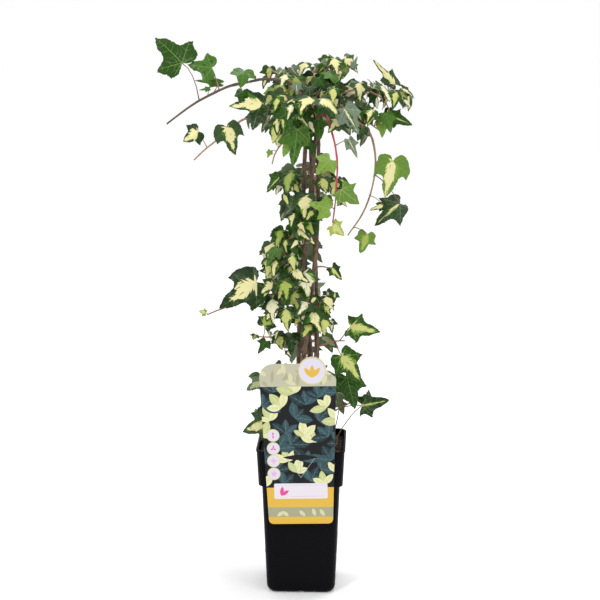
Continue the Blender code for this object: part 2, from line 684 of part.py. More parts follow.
def stalk_rings(leaf, grow):
    """Three points round the stalk's root and three round its end at the leaf.

    A three-sided stalk's flat sides stand at half its radius, so the radius grows twice as much.
    """
    run = (leaf.base - leaf.root).normalized()
    middle = (run + leaf.along).normalized()
    points = []
    for spot, normal, radius in (
        (leaf.root, run, STALK_RADIUS + 2 * grow),
        (leaf.base, middle, STALK_TIP_RADIUS + 2 * grow),
    ):
        lift = (leaf.up - middle * leaf.up.dot(middle)).normalized()
        lift = (lift - normal * lift.dot(normal)).normalized()
        right = normal.cross(lift)
        for k in range(3):
            turn = math.radians(120 * k)
            points.append(spot + (lift * math.cos(turn) + right * math.sin(turn)) * radius)
    return points


def leaf_probes(leaf, grow, owner):
    """The leaf's blade and its stalk, each as something to test against."""
    verts, faces = leaf_solid(leaf, grow)
    root_ring = range(len(verts) - STALK_VERTS, len(verts) - STALK_VERTS // 2)
    blade = [face for face in faces if not any(v in root_ring for v in face)]
    stalk = [face for face in faces if any(v in root_ring for v in face)]
    return as_placed((verts, blade), owner, "blade"), as_placed((verts, stalk), owner, "stalk")


def as_placed(shape, owner, kind):
    verts, faces = shape
    used = [verts[v] for v in {v for face in faces for v in face}]
    centre = sum(used, Vector()) / len(used)
    reach = max((v - centre).length for v in used)
    return Placed(BVHTree.FromPolygons(verts, faces), centre, reach, owner, kind)


def is_clear(probe, placed, ignored):
    """True if a probe touches nothing placed, apart from its owner's pieces of the ignored kinds."""
    for other in placed:
        if other.owner in (probe.owner, "guard") and other.kind in ignored:
            continue
        if (other.centre - probe.centre).length > other.reach + probe.reach:
            continue
        if probe.tree.overlap(other.tree):
            return False
    return True


def oriented_leaf(root, base, tip, face, length, width):
    """A leaf whose tip points along tip and whose upper side looks along face as far as it can."""
    run = (base - root).normalized()
    along = tip.normalized()
    lag = along.dot(run)
    if lag < -BACKTRACK:
        along = (along - run * (lag + BACKTRACK)).normalized()
    up = (face - along * face.dot(along)).normalized()
    return Leaf(root, base, along.cross(up), along, up, length, width)


def common_leaf(mass, rng, root, twig_along, hand, size):
    """One seeded try at an ordinary leaf on a twig."""
    scatter = Vector([rng.uniform(-SCATTER, SCATTER) for _ in range(3)])
    facing = direction(mass.face, 0)
    side = twig_along.cross(Vector((0, 0, 1)))
    if side.length < UPRIGHT:
        side = facing.cross(Vector((0, 0, 1)))
    side = side.normalized() * hand
    stalk = side * STALK_SIDE + Vector((0, 0, STALK_UP)) + twig_along * STALK_ALONG + scatter
    length = size * rng.uniform(*SIZE_SHARE)
    base = root + stalk.normalized() * length * rng.uniform(*STALK_SHARE)
    scatter = Vector([rng.uniform(-SCATTER, SCATTER) for _ in range(3)])
    tip = facing * TIP_OUT + side * TIP_SIDE + Vector((0, 0, -TIP_DOWN)) + scatter
    scatter = Vector([rng.uniform(-FACE_SCATTER, FACE_SCATTER) for _ in range(3)])
    face = direction(mass.face, FACE_RISE) + scatter
    return oriented_leaf(root, base, tip, face, length, rng.uniform(*WIDTH_SHARE))


def feature_leaf(feature, twig):
    root, _ = along_twig(twig, feature.at)
    a = math.radians(feature.tip)
    tip = Vector((math.cos(a), -feature.lean, math.sin(a)))
    base = root + Vector(feature.stalk)
    return oriented_leaf(root, base, tip, Vector(FEATURE_FACE), feature.length, feature.width)


def along_twig(twig, share):
    """Point and direction at a share of a twig's length."""
    steps = len(twig.points) - 1
    place = min(share, LAST_SHARE) * steps
    low = int(place)
    step = twig.points[low + 1] - twig.points[low]
    return twig.points[low] + step * (place - low), step.normalized()


def keep_leaf(leaf, mass, middle, placed, kept):
    """Places a leaf if it stays in its mass's space and clear of everything, and says if it did."""
    for shift in (CLEARANCE, -CLEARANCE):
        moved = leaf._replace(root=leaf.root + leaf.up * shift, base=leaf.base + leaf.up * shift)
        blade, stalk = leaf_probes(moved, CLEARANCE, mass.name)
        if (blade.centre - middle).length + blade.reach / 2 > mass.space:
            return False
        if not is_clear(blade, placed, ()):
            return False
        if not is_clear(stalk, placed, ("twig", "stalk")):
            return False
    placed.extend(leaf_probes(leaf, 0.0, mass.name))
    kept.append(leaf)
    return True


def fat_twig(path, radii, owner, skip_first=False):
    """A twig with clearance all round, as something to test against, with or without its first stretch.

    A three-sided twig's flat sides stand at half its radius, so the radius grows twice as much.
    """
    verts, faces = tube(path, [r + 2 * CLEARANCE for r in radii], TWIG_SIDES)
    if skip_first:
        faces = faces[TWIG_SIDES:-2] + faces[-1:]
    return as_placed((verts, faces), owner, "twig")


def grow_main_twig(mass, limbs, trees, placed):
    """The mass's own stem, swung a little to each side until it is clear."""
    rng = random.Random(mass.seed)
    start, along, parent = start_on(
        mass.root, mass.height, mass.azimuth, mass.rise, TWIG_RADIUS, limbs, trees
    )
    radii = tapered(TWIG_RADIUS, TWIG_TIP_RADIUS, TWIG_RINGS)
    others = [item for item in placed if item.owner != parent]
    for attempt in range(TWIG_TRIES):
        swing = (attempt + 1) // 2 * TWIG_SWING * (-1) ** attempt
        heading = mass.azimuth + swing
        path = curved_path(
            start, heading, mass.turn, mass.rise, mass.fall, mass.length, TWIG_RINGS, rng, TWIG_WANDER
        )
        path = with_first_step(start, along, path)
        whole = fat_twig(path, radii, mass.name)
        rest = fat_twig(path, radii, mass.name, skip_first=True)
        if is_clear(whole, others, ()) and is_clear(rest, placed, ()):
            return Twig(path, radii)
    raise ValueError("no clear way for " + mass.name)


def grow_side_twigs(mass, main, placed, rng):
    """Side twigs to the left and right in turn, each left out if it finds no clear way."""
    radii = tapered(SIDE_TWIG_RADIUS, TWIG_TIP_RADIUS, SIDE_RINGS)
    twigs = []
    for k in range(mass.sides):
        root, ahead = along_twig(main, SIDE_FROM + SIDE_SPREAD * (k + rng.uniform(*SIDE_PLACE)) / mass.sides)
        heading = math.degrees(math.atan2(ahead.y, ahead.x))
        hand = 1 if (k + mass.seed) % 2 else -1
        for attempt in range(SIDE_TRIES):
            swing = hand * rng.uniform(*SIDE_TURN)
            rise = rng.uniform(*SIDE_RISE) if k % 2 == 0 else rng.uniform(*SIDE_SINK)
            length = mass.length * rng.uniform(*SIDE_LENGTH)
            path = curved_path(
                root, heading + swing, 0, rise, rise - SIDE_FALL, length, SIDE_RINGS, rng, TWIG_WANDER
            )
            if is_clear(fat_twig(path, radii, mass.name), placed, ("twig", "stalk")):
                placed.append(as_placed(tube(path, radii, TWIG_SIDES), mass.name, "twig"))
                twigs.append(Twig(path, radii))
                break
    return twigs


def grow_leaves(mass, twig, first, middle, placed, rng):
    """Ordinary leaves along one twig, smaller towards its tip, to the left and right in turn."""
    leaves = []
    length = sum((b - a).length for a, b in zip(twig.points, twig.points[1:]))
    count = max(1, round(length * LEAFY_SHARE / mass.gap))
    for k in range(count + 1):
        at = first + (LAST_LEAF - first) * k / count
        root, ahead = along_twig(twig, at)
        size = mass.leaf * (1 - TIP_SIZE_LOSS * at * at)
        for attempt in range(LEAF_TRIES):
            hand = 1 if (k + attempt) % 2 else -1
            smaller = size * (1 - TRY_SHRINK * attempt)
            leaf = common_leaf(mass, rng, root, ahead, hand, smaller)
            if keep_leaf(leaf, mass, middle, placed, leaves):
                break
    return leaves


def grow_features(mass, main, placed):
    """The mass's single leaves."""
    middle, _ = along_twig(main, 0.5)
    features = []
    for feature in FEATURES.get(mass.name, ()):
        keep_leaf(feature_leaf(feature, main), mass, middle, placed, features)
    return features


def fill_mass(mass, growth, placed):
    """Adds a mass's side twigs and ordinary leaves. With a gap of 0 it has only its single leaves."""
    rng = random.Random(mass.seed)
    main = growth.twigs[0]
    middle, _ = along_twig(main, 0.5)
    growth.twigs.extend(grow_side_twigs(mass, main, placed, rng))
    if not mass.gap:
        return
    for twig in growth.twigs:
        first = FIRST_LEAF if twig is main else FIRST_SIDE_LEAF
        growth.leaves.extend(grow_leaves(mass, twig, first, middle, placed, rng))


def guard_shapes():
    """Plain boxes that keep leaves off the pot and the card."""
    half = RIM_WIDTH / 2 + LIP_OUT
    edge = CARD_TOP_WIDTH / 2 + CARD_MARGIN
    back = card_back()
    pot = box_shape((-half, -half, 0.0), (half, half, POT_HEIGHT + POT_MARGIN))
    card = box_shape(
        (CARD_MIDDLE_X - edge, back - CARD_THICK, CARD_FOOT),
        (CARD_MIDDLE_X + edge, back, TAB_Z + TAB_RADIUS),
    )
    return pot, card


def grow_plant():
    """Limbs by name, and the growth of each mass by name."""
    limbs = {}
    trees = {}
    placed = [as_placed(shape, "guard", "guard") for shape in guard_shapes()]
    for stem in STEMS:
        limbs[stem.name] = stem_limb(stem)
        shape = tube(*limbs[stem.name], STEM_SIDES, Vector((0, 0, 1)))
        placed.append(as_placed(shape, stem.name, "limb"))
        trees[stem.name] = placed[-1].tree
    for bough in BOUGHS:
        limbs[bough.name] = bough_limb(bough, limbs, trees)
        shape = tube(*limbs[bough.name], BOUGH_SIDES)
        placed.append(as_placed(shape, bough.name, "limb"))
        trees[bough.name] = placed[-1].tree
    grown = {}
    for mass in MASSES:
        main = grow_main_twig(mass, limbs, trees, placed)
        placed.append(as_placed(tube(main.points, main.radii, TWIG_SIDES), mass.name, "twig"))
        grown[mass.name] = Growth([main], [], [])
    for mass in MASSES:
        growth = grown[mass.name]
        growth.features.extend(grow_features(mass, growth.twigs[0], placed))
    for mass in MASSES:
        fill_mass(mass, grown[mass.name], placed)
    return limbs, grown


def drop_scraps(mesh):
    """Keeps the largest set of faces joined by edges."""
    work = bmesh.new()
    work.from_mesh(mesh)
    left = set(work.faces)
    groups = []
    while left:
        group = {left.pop()}
        edge_of = list(group)
        while edge_of:
            face = edge_of.pop()
            near = {other for edge in face.edges for other in edge.link_faces}
            fresh = near & left
            left -= fresh
            group |= fresh
            edge_of += fresh
        groups.append(group)
    groups.sort(key=len)
    scraps = [face for group in groups[:-1] for face in group]
    bmesh.ops.delete(work, geom=scraps, context="FACES")
    work.to_mesh(mesh)
    work.free()


def fused(name, shapes, material):
    """One closed object from overlapping closed shapes."""
    body = add_object(name, shapes[0], material)
    extras = bpy.data.collections.new(name + "_pieces")
    for k, shape in enumerate(shapes[1:]):
        piece = add_object("%s_piece_%d" % (name, k), shape, material)
        bpy.context.scene.collection.objects.unlink(piece)
        extras.objects.link(piece)
    join = body.modifiers.new("join", "BOOLEAN")
    join.operation = "UNION"
    join.operand_type = "COLLECTION"
    join.collection = extras
    bpy.context.scene.collection.children.link(extras)
    seen = body.evaluated_get(bpy.context.evaluated_depsgraph_get())
    mesh = bpy.data.meshes.new_from_object(seen)
    drop_scraps(mesh)
    body.modifiers.clear()
    body.data = mesh
    for piece in list(extras.objects):
        bpy.data.objects.remove(piece, do_unlink=True)
    bpy.data.collections.remove(extras)
    return body


def make_plant():
    stem_bark = make_material("stem_bark", STEM_COLOUR, 0.85)
    bough_bark = make_material("bough_bark", BOUGH_COLOUR, 0.75)
    foliage = make_material("foliage", LEAF_COLOUR, 0.45)
    limbs, grown = grow_plant()
    for stem in STEMS:
        shape = tube(*limbs[stem.name], STEM_SIDES, Vector((0, 0, 1)))
        add_object(stem.name, shape, stem_bark, SMOOTH_BARK)
    for bough in BOUGHS:
        add_object(bough.name, tube(*limbs[bough.name], BOUGH_SIDES), bough_bark, SMOOTH_BARK)
    for name, growth in grown.items():
        shapes = [tube(twig.points, twig.radii, TWIG_SIDES) for twig in growth.twigs]
        shapes += [leaf_solid(leaf) for leaf in growth.features]
        shapes += [leaf_solid(leaf) for leaf in growth.leaves if leaf.length > LEAST_SOLID_LEAF]
        fused(name, shapes, foliage)


def main():
    clear_scene()
    make_pot(make_material("pot_plastic", POT_COLOUR, 0.45))
    make_soil(make_material("peat", SOIL_COLOUR, 0.95))
    make_card(make_material("card_board", CARD_COLOUR, 0.40))
    make_plant()


main()
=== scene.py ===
"""Looks of a potted variegated ivy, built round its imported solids.

Metres, +Z up, front towards -Y. The plant grows here by the same seeded rule as its solids, so every
limb, twig and leaf stands where its solid does. It then goes on to finer twigs and small leaves.
"""

import math
import random
from collections import namedtuple

import bpy
import numpy as np
from mathutils import Matrix, Vector, noise
from mathutils.bvhtree import BVHTree
from mathutils.geometry import delaunay_2d_cdt


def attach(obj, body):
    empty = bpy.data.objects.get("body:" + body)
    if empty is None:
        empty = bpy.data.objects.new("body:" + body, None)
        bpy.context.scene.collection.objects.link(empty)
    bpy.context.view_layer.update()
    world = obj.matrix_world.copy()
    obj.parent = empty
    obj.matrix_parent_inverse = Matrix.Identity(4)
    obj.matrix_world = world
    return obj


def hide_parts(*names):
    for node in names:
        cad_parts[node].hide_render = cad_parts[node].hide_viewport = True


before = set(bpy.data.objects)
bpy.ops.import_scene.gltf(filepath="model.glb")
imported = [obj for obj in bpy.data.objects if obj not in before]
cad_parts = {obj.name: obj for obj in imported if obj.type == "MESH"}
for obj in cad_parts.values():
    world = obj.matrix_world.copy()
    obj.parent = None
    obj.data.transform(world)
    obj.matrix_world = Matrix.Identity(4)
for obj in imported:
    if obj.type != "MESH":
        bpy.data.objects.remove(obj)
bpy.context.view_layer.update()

# Pot
POT_HEIGHT = 0.198
RIM_WIDTH = 0.115
COLLAR_FOOT_WIDTH = 0.1105
COLLAR_HEIGHT = 0.049
BODY_TOP_WIDTH = 0.102
BODY_FOOT_WIDTH = 0.091
WALL = 0.0018
LIP_OUT = 0.0008
LIP_HEIGHT = 0.003
CORNER_RADIUS = 0.012

FOOT_ROUND = 0.007
FOOT_ROUND_HEIGHT = 0.010
POT_FLOOR = 0.003
DRAIN_WIDTH = 0.006
DRAIN_HEIGHT = 0.006
DRAIN_DEPTH = 0.012
STEP_DROP = 0.003
EDGE = 0.001
SMOOTH_PLASTIC = 35

# Soil, and the gap where one piece is seated on another
SEAT = 0.0003
SEAT_SEARCH = 0.012
SEAT_ROUNDS = 6
SEAT_POINTS = 12
SOIL_BELOW_RIM = 0.008
SOIL_TOP = POT_HEIGHT - SOIL_BELOW_RIM

# Card, hung on the front of the rim
CARD_THICK = 0.0008
CARD_TOP_WIDTH = 0.099
CARD_FOOT_WIDTH = 0.084
CARD_FOOT = 0.101
CARD_SHOULDER = 0.316
CARD_LEAN = math.radians(1.3)
CARD_MIDDLE_X = -0.001
CARD_CORNER = 0.006
CARD_CORNER_STEPS = 3
SHOULDER_RADIUS = 0.018
SHOULDER_STEPS = 5
RIGHT_CORNER_DROP = 0.016
RIGHT_CORNER_TURN = 60
TAB_RADIUS = 0.0185
TAB_X = 0.0188
TAB_Z = 0.3065
TAB_TURN = 150
TAB_STEPS = 8
HOOK_WIDTH = 0.036
HOOK_TIP_WIDTH = 0.016
HOOK_DEPTH = 0.0055
CARD_MARGIN = 0.004
POT_MARGIN = 0.001

# Climbing stems, wound loosely about one leaning column
COLUMN_FOOT_X = 0.003
COLUMN_HEAD_X = 0.015
COLUMN_HEAD = 0.640
STEM_SPREAD_FOOT = 0.016
STEM_SPREAD_HEAD = 0.0085
STEM_TWIST = 210.0
STEM_WAVER = 0.10
STEM_WAVES = 9.0
STEM_RINGS = 15
STEM_SIDES = 7
FLARE = 0.55
FLARE_HEIGHT = 0.012
FLARE_SHARES = (0.0, 0.012, 0.03)
FIRST_PLAIN_SHARE = 0.06
STEM_END_MARGIN = 0.002

Stem = namedtuple("Stem", "name phase foot_radius tip_radius tip_height")
STEMS = (
    Stem("stem_front_left", 15, 0.0042, 0.0024, 0.636),
    Stem("stem_front_right", 105, 0.0036, 0.0021, 0.628),
    Stem("stem_back_right", 195, 0.0038, 0.0022, 0.622),
    Stem("stem_back_left", 285, 0.0033, 0.0020, 0.631),
)

# Boughs: one with no height starts at the named stem's tip, and any other leaves the stem on its side.
# rise and fall are the slope in degrees at root and tip.
BOUGH_RINGS = 7
BOUGH_SIDES = 6
Bough = namedtuple("Bough", "name stem height azimuth turn rise fall length root_radius tip_radius")
BOUGHS = (
    Bough("bough_left_high", "stem_front_left", None, 184, -2, 58, -18, 0.100, 0.0023, 0.0017),
    Bough("bough_left_low", "stem", 0.612, 205, -18, 52, -30, 0.074, 0.0018, 0.0013),
    Bough("bough_front", "stem", 0.608, 262, 6, 66, 22, 0.036, 0.0017, 0.0014),
    Bough("bough_right_low", "stem_front_right", None, 352, 4, 58, -54, 0.056, 0.0021, 0.0015),
    Bough("bough_front_right", "stem", 0.619, 298, 10, 52, -76, 0.040, 0.0016, 0.0012),
    Bough("bough_right_high", "stem_back_right", None, 12, -6, 72, 8, 0.058, 0.0020, 0.0015),
    Bough("bough_back", "stem", 0.606, 85, 10, 50, 0, 0.048, 0.0018, 0.0014),
    Bough("bough_back_left", "stem", 0.610, 120, 4, 50, -4, 0.050, 0.0018, 0.0014),
    Bough("bough_top", "stem_back_left", None, 95, 0, 88, 62, 0.024, 0.0019, 0.0015),
)

# Twigs and leaves
TWIG_SIDES = 3
TWIG_RINGS = 6
TWIG_RADIUS = 0.0015
TWIG_TIP_RADIUS = 0.0009
SIDE_TWIG_RADIUS = 0.0012
STALK_RADIUS = 0.0009
STALK_TIP_RADIUS = 0.0006
LEAF_THICKNESS = 0.035
LEAST_THICKNESS = 0.0008
LEAF_CREST = 0.30
STALK_VERTS = 6
CLEARANCE = 0.0004
LEAF_TRIES = 14
TWIG_TRIES = 9
TWIG_SWING = 9.0
TWIG_WANDER = 5.0
SIDE_TRIES = 6
SIDE_RINGS = 4
SIDE_FROM = 0.22
SIDE_SPREAD = 0.62
SIDE_PLACE = (0.2, 0.8)
LAST_SHARE = 0.999
SIDE_TURN = (35, 75)
SIDE_RISE = (5, 50)
SIDE_SINK = (-35, 15)
SIDE_FALL = 40
SIDE_LENGTH = (0.45, 0.70)

# Half of the lobed outline, in leaf lengths from the stalk to the tip
HALF_OUTLINE = ((0.36, -0.12), (0.56, 0.31), (0.26, 0.47))
LEAF_TIP = (0.0, 1.0)
LEAF_DROOP = 0.16
LEAF_FOLD = 0.10

# A mass of foliage. root is a bough, or stem with a height, which takes the stem on that side.
# gap is the way between ordinary leaves, 0 for none, leaf their length, face the azimuth that they
# turn to and space the radius of the ball that they keep to.
Mass = namedtuple(
    "Mass", "name root height azimuth turn rise fall length sides gap leaf face space seed"
)
MASSES = (
    Mass("spray_left_high", "bough_left_high", None, 182, 6, -14, -43, 0.119, 0, 0, 0.016, 262, 0.11, 11),
    Mass("spray_left_low", "bough_left_low", None, 187, -4, -30, -46, 0.096, 0, 0, 0.02, 265, 0.08, 12),
    Mass("spray_right", "bough_right_low", None, 352, 0, -62, -126, 0.177, 0, 0, 0.02, 275, 0.115, 13),
    Mass("spray_front", "bough_front_right", None, 320, 0, -78, -104, 0.124, 0, 0, 0.018, 275, 0.085, 14),
    Mass("spray_left_short", "stem", 0.6, 196, 10, 12, -88, 0.062, 0, 0, 0.02, 262, 0.065, 15),
    Mass("crown_front_right", "stem", 0.602, 330, 6, 58, -42, 0.078, 3, 0.014, 0.0308, 290, 0.086, 28),
    Mass("crown_under_left", "stem", 0.602, 236, -10, 30, -7, 0.042, 1, 0.0158, 0.0344, 266, 0.064, 367),
    Mass("crown_front", "bough_front", None, 262, -6, 20, -20, 0.05, 1, 0.0155, 0.032, 264, 0.062, 21),
    Mass("crown_right", "bough_right_high", None, 8, -4, 8, -63, 0.063, 3, 0.0155, 0.0288, 319, 0.062, 585),
    Mass("crown_top", "bough_top", None, 34, -20, 43, 4, 0.066, 3, 0.0135, 0.027, 282, 0.07, 23),
    Mass("crown_back", "bough_back", None, 89, 10, -10, -50, 0.056, 3, 0.017, 0.035, 90, 0.08, 24),
    Mass(
        "crown_back_left", "bough_back_left", None, 120, 8, -1, -42, 0.06, 3, 0.0175, 0.033, 123, 0.073, 394
    ),
    Mass("crown_front_left", "stem", 0.622, 250, -10, 58, -36, 0.05, 2, 0.0154, 0.0316, 258, 0.065, 121),
    Mass("crown_left", "stem", 0.621, 172, 0, 79, 20, 0.07, 3, 0.0183, 0.029, 250, 0.07, 440),
    Mass("crown_back_right", "stem", 0.613, 48, 6, 52, -37, 0.074, 3, 0.0165, 0.0352, 38, 0.08, 31),
    Mass("column_left_1", "stem", 0.542, 205, 10, 30, -49, 0.028, 2, 0.0114, 0.0304, 258, 0.038, 41),
    Mass("column_right_1", "stem", 0.54, 339, 10, 8, -40, 0.033, 2, 0.0135, 0.0256, 277, 0.038, 47),
    Mass("column_back_1", "stem", 0.543, 86, 10, 17, -47, 0.04, 2, 0.0155, 0.031, 80, 0.055, 387),
    Mass("column_left_2", "stem", 0.494, 227, 10, 30, -50, 0.022, 2, 0.0125, 0.0296, 262, 0.034, 236),
    Mass("column_left_6", "stem", 0.467, 196, 10, 30, -50, 0.028, 1, 0.0102, 0.0317, 258, 0.036, 60),
    Mass("column_back_2", "stem", 0.498, 100, 10, 25, -35, 0.042, 1, 0.0155, 0.031, 95, 0.049, 449),
    Mass("column_left_3", "stem", 0.445, 190, 10, 30, -40, 0.04, 3, 0.0116, 0.0319, 265, 0.055, 46),
    Mass("column_right_2", "stem", 0.432, 350, 10, 15, -20, 0.014, 0, 0, 0.02, 285, 0.045, 47),
    Mass("column_back_3", "stem", 0.441, 112, 10, 25, -39, 0.04, 2, 0.0155, 0.031, 112, 0.055, 48),
    Mass("spray_trailing", "stem", 0.398, 188, -4, -2, -27, 0.124, 0, 0, 0.02, 262, 0.1, 49),
    Mass("column_front_1", "stem", 0.42, 250, 10, 20, -60, 0.019, 1, 0.0134, 0.034, 272, 0.05, 50),
    Mass("column_front_3", "stem", 0.521, 251, 10, 20, -50, 0.012, 0, 0.0108, 0.024, 272, 0.043, 244),
    Mass("column_front_4", "stem", 0.478, 250, 10, 20, -50, 0.014, 0, 0.012, 0.029, 265, 0.045, 59),
    Mass("column_right_3", "stem", 0.38, 320, 10, 20, -60, 0.015, 1, 0.0114, 0.0285, 285, 0.048, 441),
    Mass("column_left_4", "stem", 0.38, 189, 0, 15, -35, 0.036, 2, 0.0125, 0.0308, 252, 0.057, 52),
    Mass("column_left_7", "stem", 0.412, 192, 0, 25, -50, 0.029, 1, 0.0125, 0.0319, 249, 0.046, 64),
    Mass("column_back_4", "stem", 0.384, 122, 10, 26, -64, 0.042, 2, 0.0155, 0.0295, 140, 0.055, 455),
    Mass("column_left_5", "stem", 0.338, 184, 0, 0, 0, 0.052, 0, 0.02, 0.0215, 256, 0.055, 54),
    Mass("column_front_2", "stem", 0.366, 285, 10, 20, -50, 0.024, 1, 0.0135, 0.0319, 272, 0.05, 55),
    Mass("column_right_4", "stem", 0.325, 352, 0, 22, 6, 0.035, 0, 0, 0.026, 285, 0.07, 56),
    Mass("column_back_5", "stem", 0.322, 84, 10, 20, -50, 0.044, 2, 0.0166, 0.033, 88, 0.064, 57),
    Mass("base_right", "stem", 0.222, 350, 0, 30, 30, 0.06, 0, 0, 0.03, 285, 0.09, 61),
    Mass("base_left", "stem", 0.228, 190, 10, 25, -20, 0.046, 0, 0.018, 0.028, 255, 0.075, 62),
    Mass("base_back_left", "stem", 0.262, 112, 10, 34, -35, 0.057, 2, 0.0165, 0.0307, 103, 0.062, 294),
    Mass("base_back_right", "stem", 0.252, 74, 10, 25, -35, 0.056, 2, 0.0165, 0.032, 62, 0.07, 65),
)

# Single leaves that give the plant its outline: place along the twig, stalk, length, tip angle seen
# from the front (0 is right, 90 is up), width against a common leaf, lean of the tip to the front,
# look and outline.
STAR, SHARP, LONG, BLUNT, HOODED, SHALLOW = range(6)
Feature = namedtuple("Feature", "at stalk length tip width lean look outline")
# Leaves with the slate, painted_sheen_streak or grey look carry a painted sheen
FEATURES = {
    "spray_left_high": (
        Feature(0.57, (-0.021, -0.006, 0.048), 0.046, 131, 1.15, 0.05, "rich", BLUNT),
        Feature(0.33, (-0.009, -0.004, 0.029), 0.031, 172, 1.10, 0.10, "green", BLUNT),
        Feature(0.40, (0.008, 0.012, 0.012), 0.034, 178, 0.35, 0.10, "green", LONG),
        Feature(0.04, (-0.001, -0.004, 0.015), 0.025, 268, 1.20, 0.50, "green", STAR),
        Feature(0.10, (0.004, -0.005, -0.009), 0.021, 262, 0.80, 0.15, "rich", STAR),
    ),
    "spray_left_low": (
        Feature(0.05, (0.016, -0.016, 0.018), 0.042, 196, 0.80, 0.05, "cream_bold", LONG),
        Feature(0.05, (0.009, -0.008, 0.004), 0.021, 252, 1.10, 0.20, "slate", STAR),
        Feature(0.26, (-0.012, -0.007, -0.003), 0.037, 289, 0.95, 0.15, "cream_flame", HOODED),
        Feature(0.76, (-0.011, -0.004, 0.021), 0.023, 215, 1.20, 0.10, "cream_bold", STAR),
    ),
    "spray_right": (
        Feature(0.435, (0.023, -0.004, 0.006), 0.049, 262, 0.85, 0.10, "cream_bright", HOODED),
        Feature(0.50, (0.034, 0.014, -0.040), 0.045, 219, 0.80, 0.00, "painted_sheen_streak", LONG),
        Feature(0.93, (0.018, -0.003, -0.008), 0.027, 254, 0.95, 0.10, "bright_lime", STAR),
    ),
    "spray_front": (
        Feature(0.20, (0.017, -0.002, 0.008), 0.026, 300, 0.60, 0.10, "grey", LONG),
        Feature(0.42, (-0.009, -0.006, 0.010), 0.026, 225, 1.10, 0.15, "bright", STAR),
        Feature(0.66, (0.007, -0.006, 0.002), 0.029, 322, 1.10, 0.15, "bright", SHARP),
        Feature(0.86, (-0.006, -0.010, 0.002), 0.027, 160, 1.10, 0.10, "bright", LONG),
        Feature(0.99, (0.000, -0.004, -0.004), 0.020, 322, 1.10, 0.10, "young", SHARP),
    ),
    "spray_left_short": (
        Feature(0.72, (-0.008, -0.002, 0.001), 0.010, 250, 0.80, 0.10, "bright", STAR),
    ),
    "crown_front_right": (
        Feature(0.56, (0.004, -0.026, 0.012), 0.036, 303, 0.85, 0.20, "grey", STAR),
        Feature(0.38, (0.009, -0.020, 0.000), 0.022, 225, 0.95, 0.20, "cream", BLUNT),
    ),
    "crown_right": (
        Feature(0.72, (0.018, 0.004, 0.018), 0.043, 133, 0.42, 0.05, "cream", LONG),
        Feature(0.78, (0.022, -0.002, 0.012), 0.022, 290, 0.95, 0.20, "lime", STAR),
        Feature(0.97, (0.002, -0.006, -0.010), 0.030, 345, 0.80, 0.15, "flame", SHARP),
    ),
    "crown_top": (
        Feature(0.82, (0.007, -0.004, 0.009), 0.022, 134, 0.45, 0.05, "flame", LONG),
        Feature(0.98, (0.012, -0.002, 0.005), 0.016, 68, 0.60, 0.05, "grey", LONG),
    ),
    "crown_under_left": (
        Feature(0.38, (0.000, -0.026, 0.005), 0.047, 264, 0.80, 0.15, "green", LONG),
    ),
    "spray_trailing": (
        Feature(0.14, (-0.037, -0.010, 0.016), 0.060, 215, 0.85, 0.12, "cream_fan", HOODED),
        Feature(0.52, (0.010, 0.006, 0.003), 0.024, 232, 0.90, 0.00, "bright", STAR),
        Feature(0.99, (-0.003, 0.000, 0.002), 0.009, 160, 1.10, 0.10, "young", SHARP),
    ),
    "column_front_3": (
        Feature(0.50, (-0.002, -0.010, 0.006), 0.029, 268, 0.90, 0.20, "cream", HOODED),
    ),
    "column_front_4": (
        Feature(0.50, (-0.006, -0.010, 0.008), 0.024, 315, 0.85, 0.20, "cream", HOODED),
    ),
    "column_front_1": (
        Feature(0.60, (0.008, -0.012, 0.009), 0.036, 284, 0.85, 0.20, "cream", LONG),
    ),
    "column_front_2": (
        Feature(0.45, (0.002, -0.012, 0.011), 0.031, 292, 0.80, 0.20, "cream", LONG),
    ),
    "column_left_5": (
        Feature(0.85, (0.002, -0.010, 0.018), 0.026, 60, 0.90, 0.10, "lime", BLUNT),
        Feature(0.45, (-0.001, -0.006, 0.002), 0.019, 290, 1.05, 0.15, "lime", STAR),
    ),
    "column_right_2": (
        Feature(0.96, (0.006, -0.003, 0.001), 0.021, 312, 0.85, 0.15, "flame", SHARP),
    ),
    "column_right_4": (
        Feature(0.80, (0.014, -0.004, 0.020), 0.039, 352, 0.85, 0.15, "lime", SHARP),
        Feature(0.62, (0.009, -0.010, -0.017), 0.045, 310, 0.85, 0.15, "lime", STAR),
    ),
    "base_right": (
        Feature(0.55, (0.030, -0.012, 0.007), 0.036, 12, 0.85, 0.12, "flame", SHARP),
        Feature(0.90, (-0.008, -0.006, 0.034), 0.043, 284, 0.90, 0.15, "rich", STAR),
    ),
    "base_left": (
        Feature(0.92, (0.006, -0.012, -0.006), 0.034, 196, 1.10, 0.15, "cream_flame", HOODED),
    ),
}

# Small single leaves that only the visual model has
SMALL_FEATURES = {
    "spray_right": (
        Feature(0.66, (0.018, 0.002, -0.013), 0.019, 176, 0.60, 0.20, "cream_bold", HOODED),
    ),
    "spray_left_high": (
        Feature(0.47, (0.003, -0.003, 0.010), 0.014, 185, 0.45, 0.10, "green", LONG),
    ),
}

# How ordinary leaves hang: shares of the pull outwards, sideways and down, and the seeded scatter
STALK_SIDE = 0.85
STALK_UP = 0.55
STALK_ALONG = 0.35
TIP_OUT = 0.45
TIP_SIDE = 0.45
TIP_DOWN = 0.80
FACE_RISE = 32.0
SCATTER = 0.42
FACE_SCATTER = 0.42
STALK_SHARE = (0.45, 0.85)
SIZE_SHARE = (0.78, 1.20)
TIP_SIZE_LOSS = 0.40
WIDTH_SHARE = (0.85, 1.10)
TRY_SHRINK = 0.03
LEAFY_SHARE = 0.86
FIRST_LEAF = 0.14
FIRST_SIDE_LEAF = 0.35
LAST_LEAF = 0.99
BACKTRACK = 0.35
UPRIGHT = 0.2
FEATURE_FACE = (0.10, -1.0, 0.40)

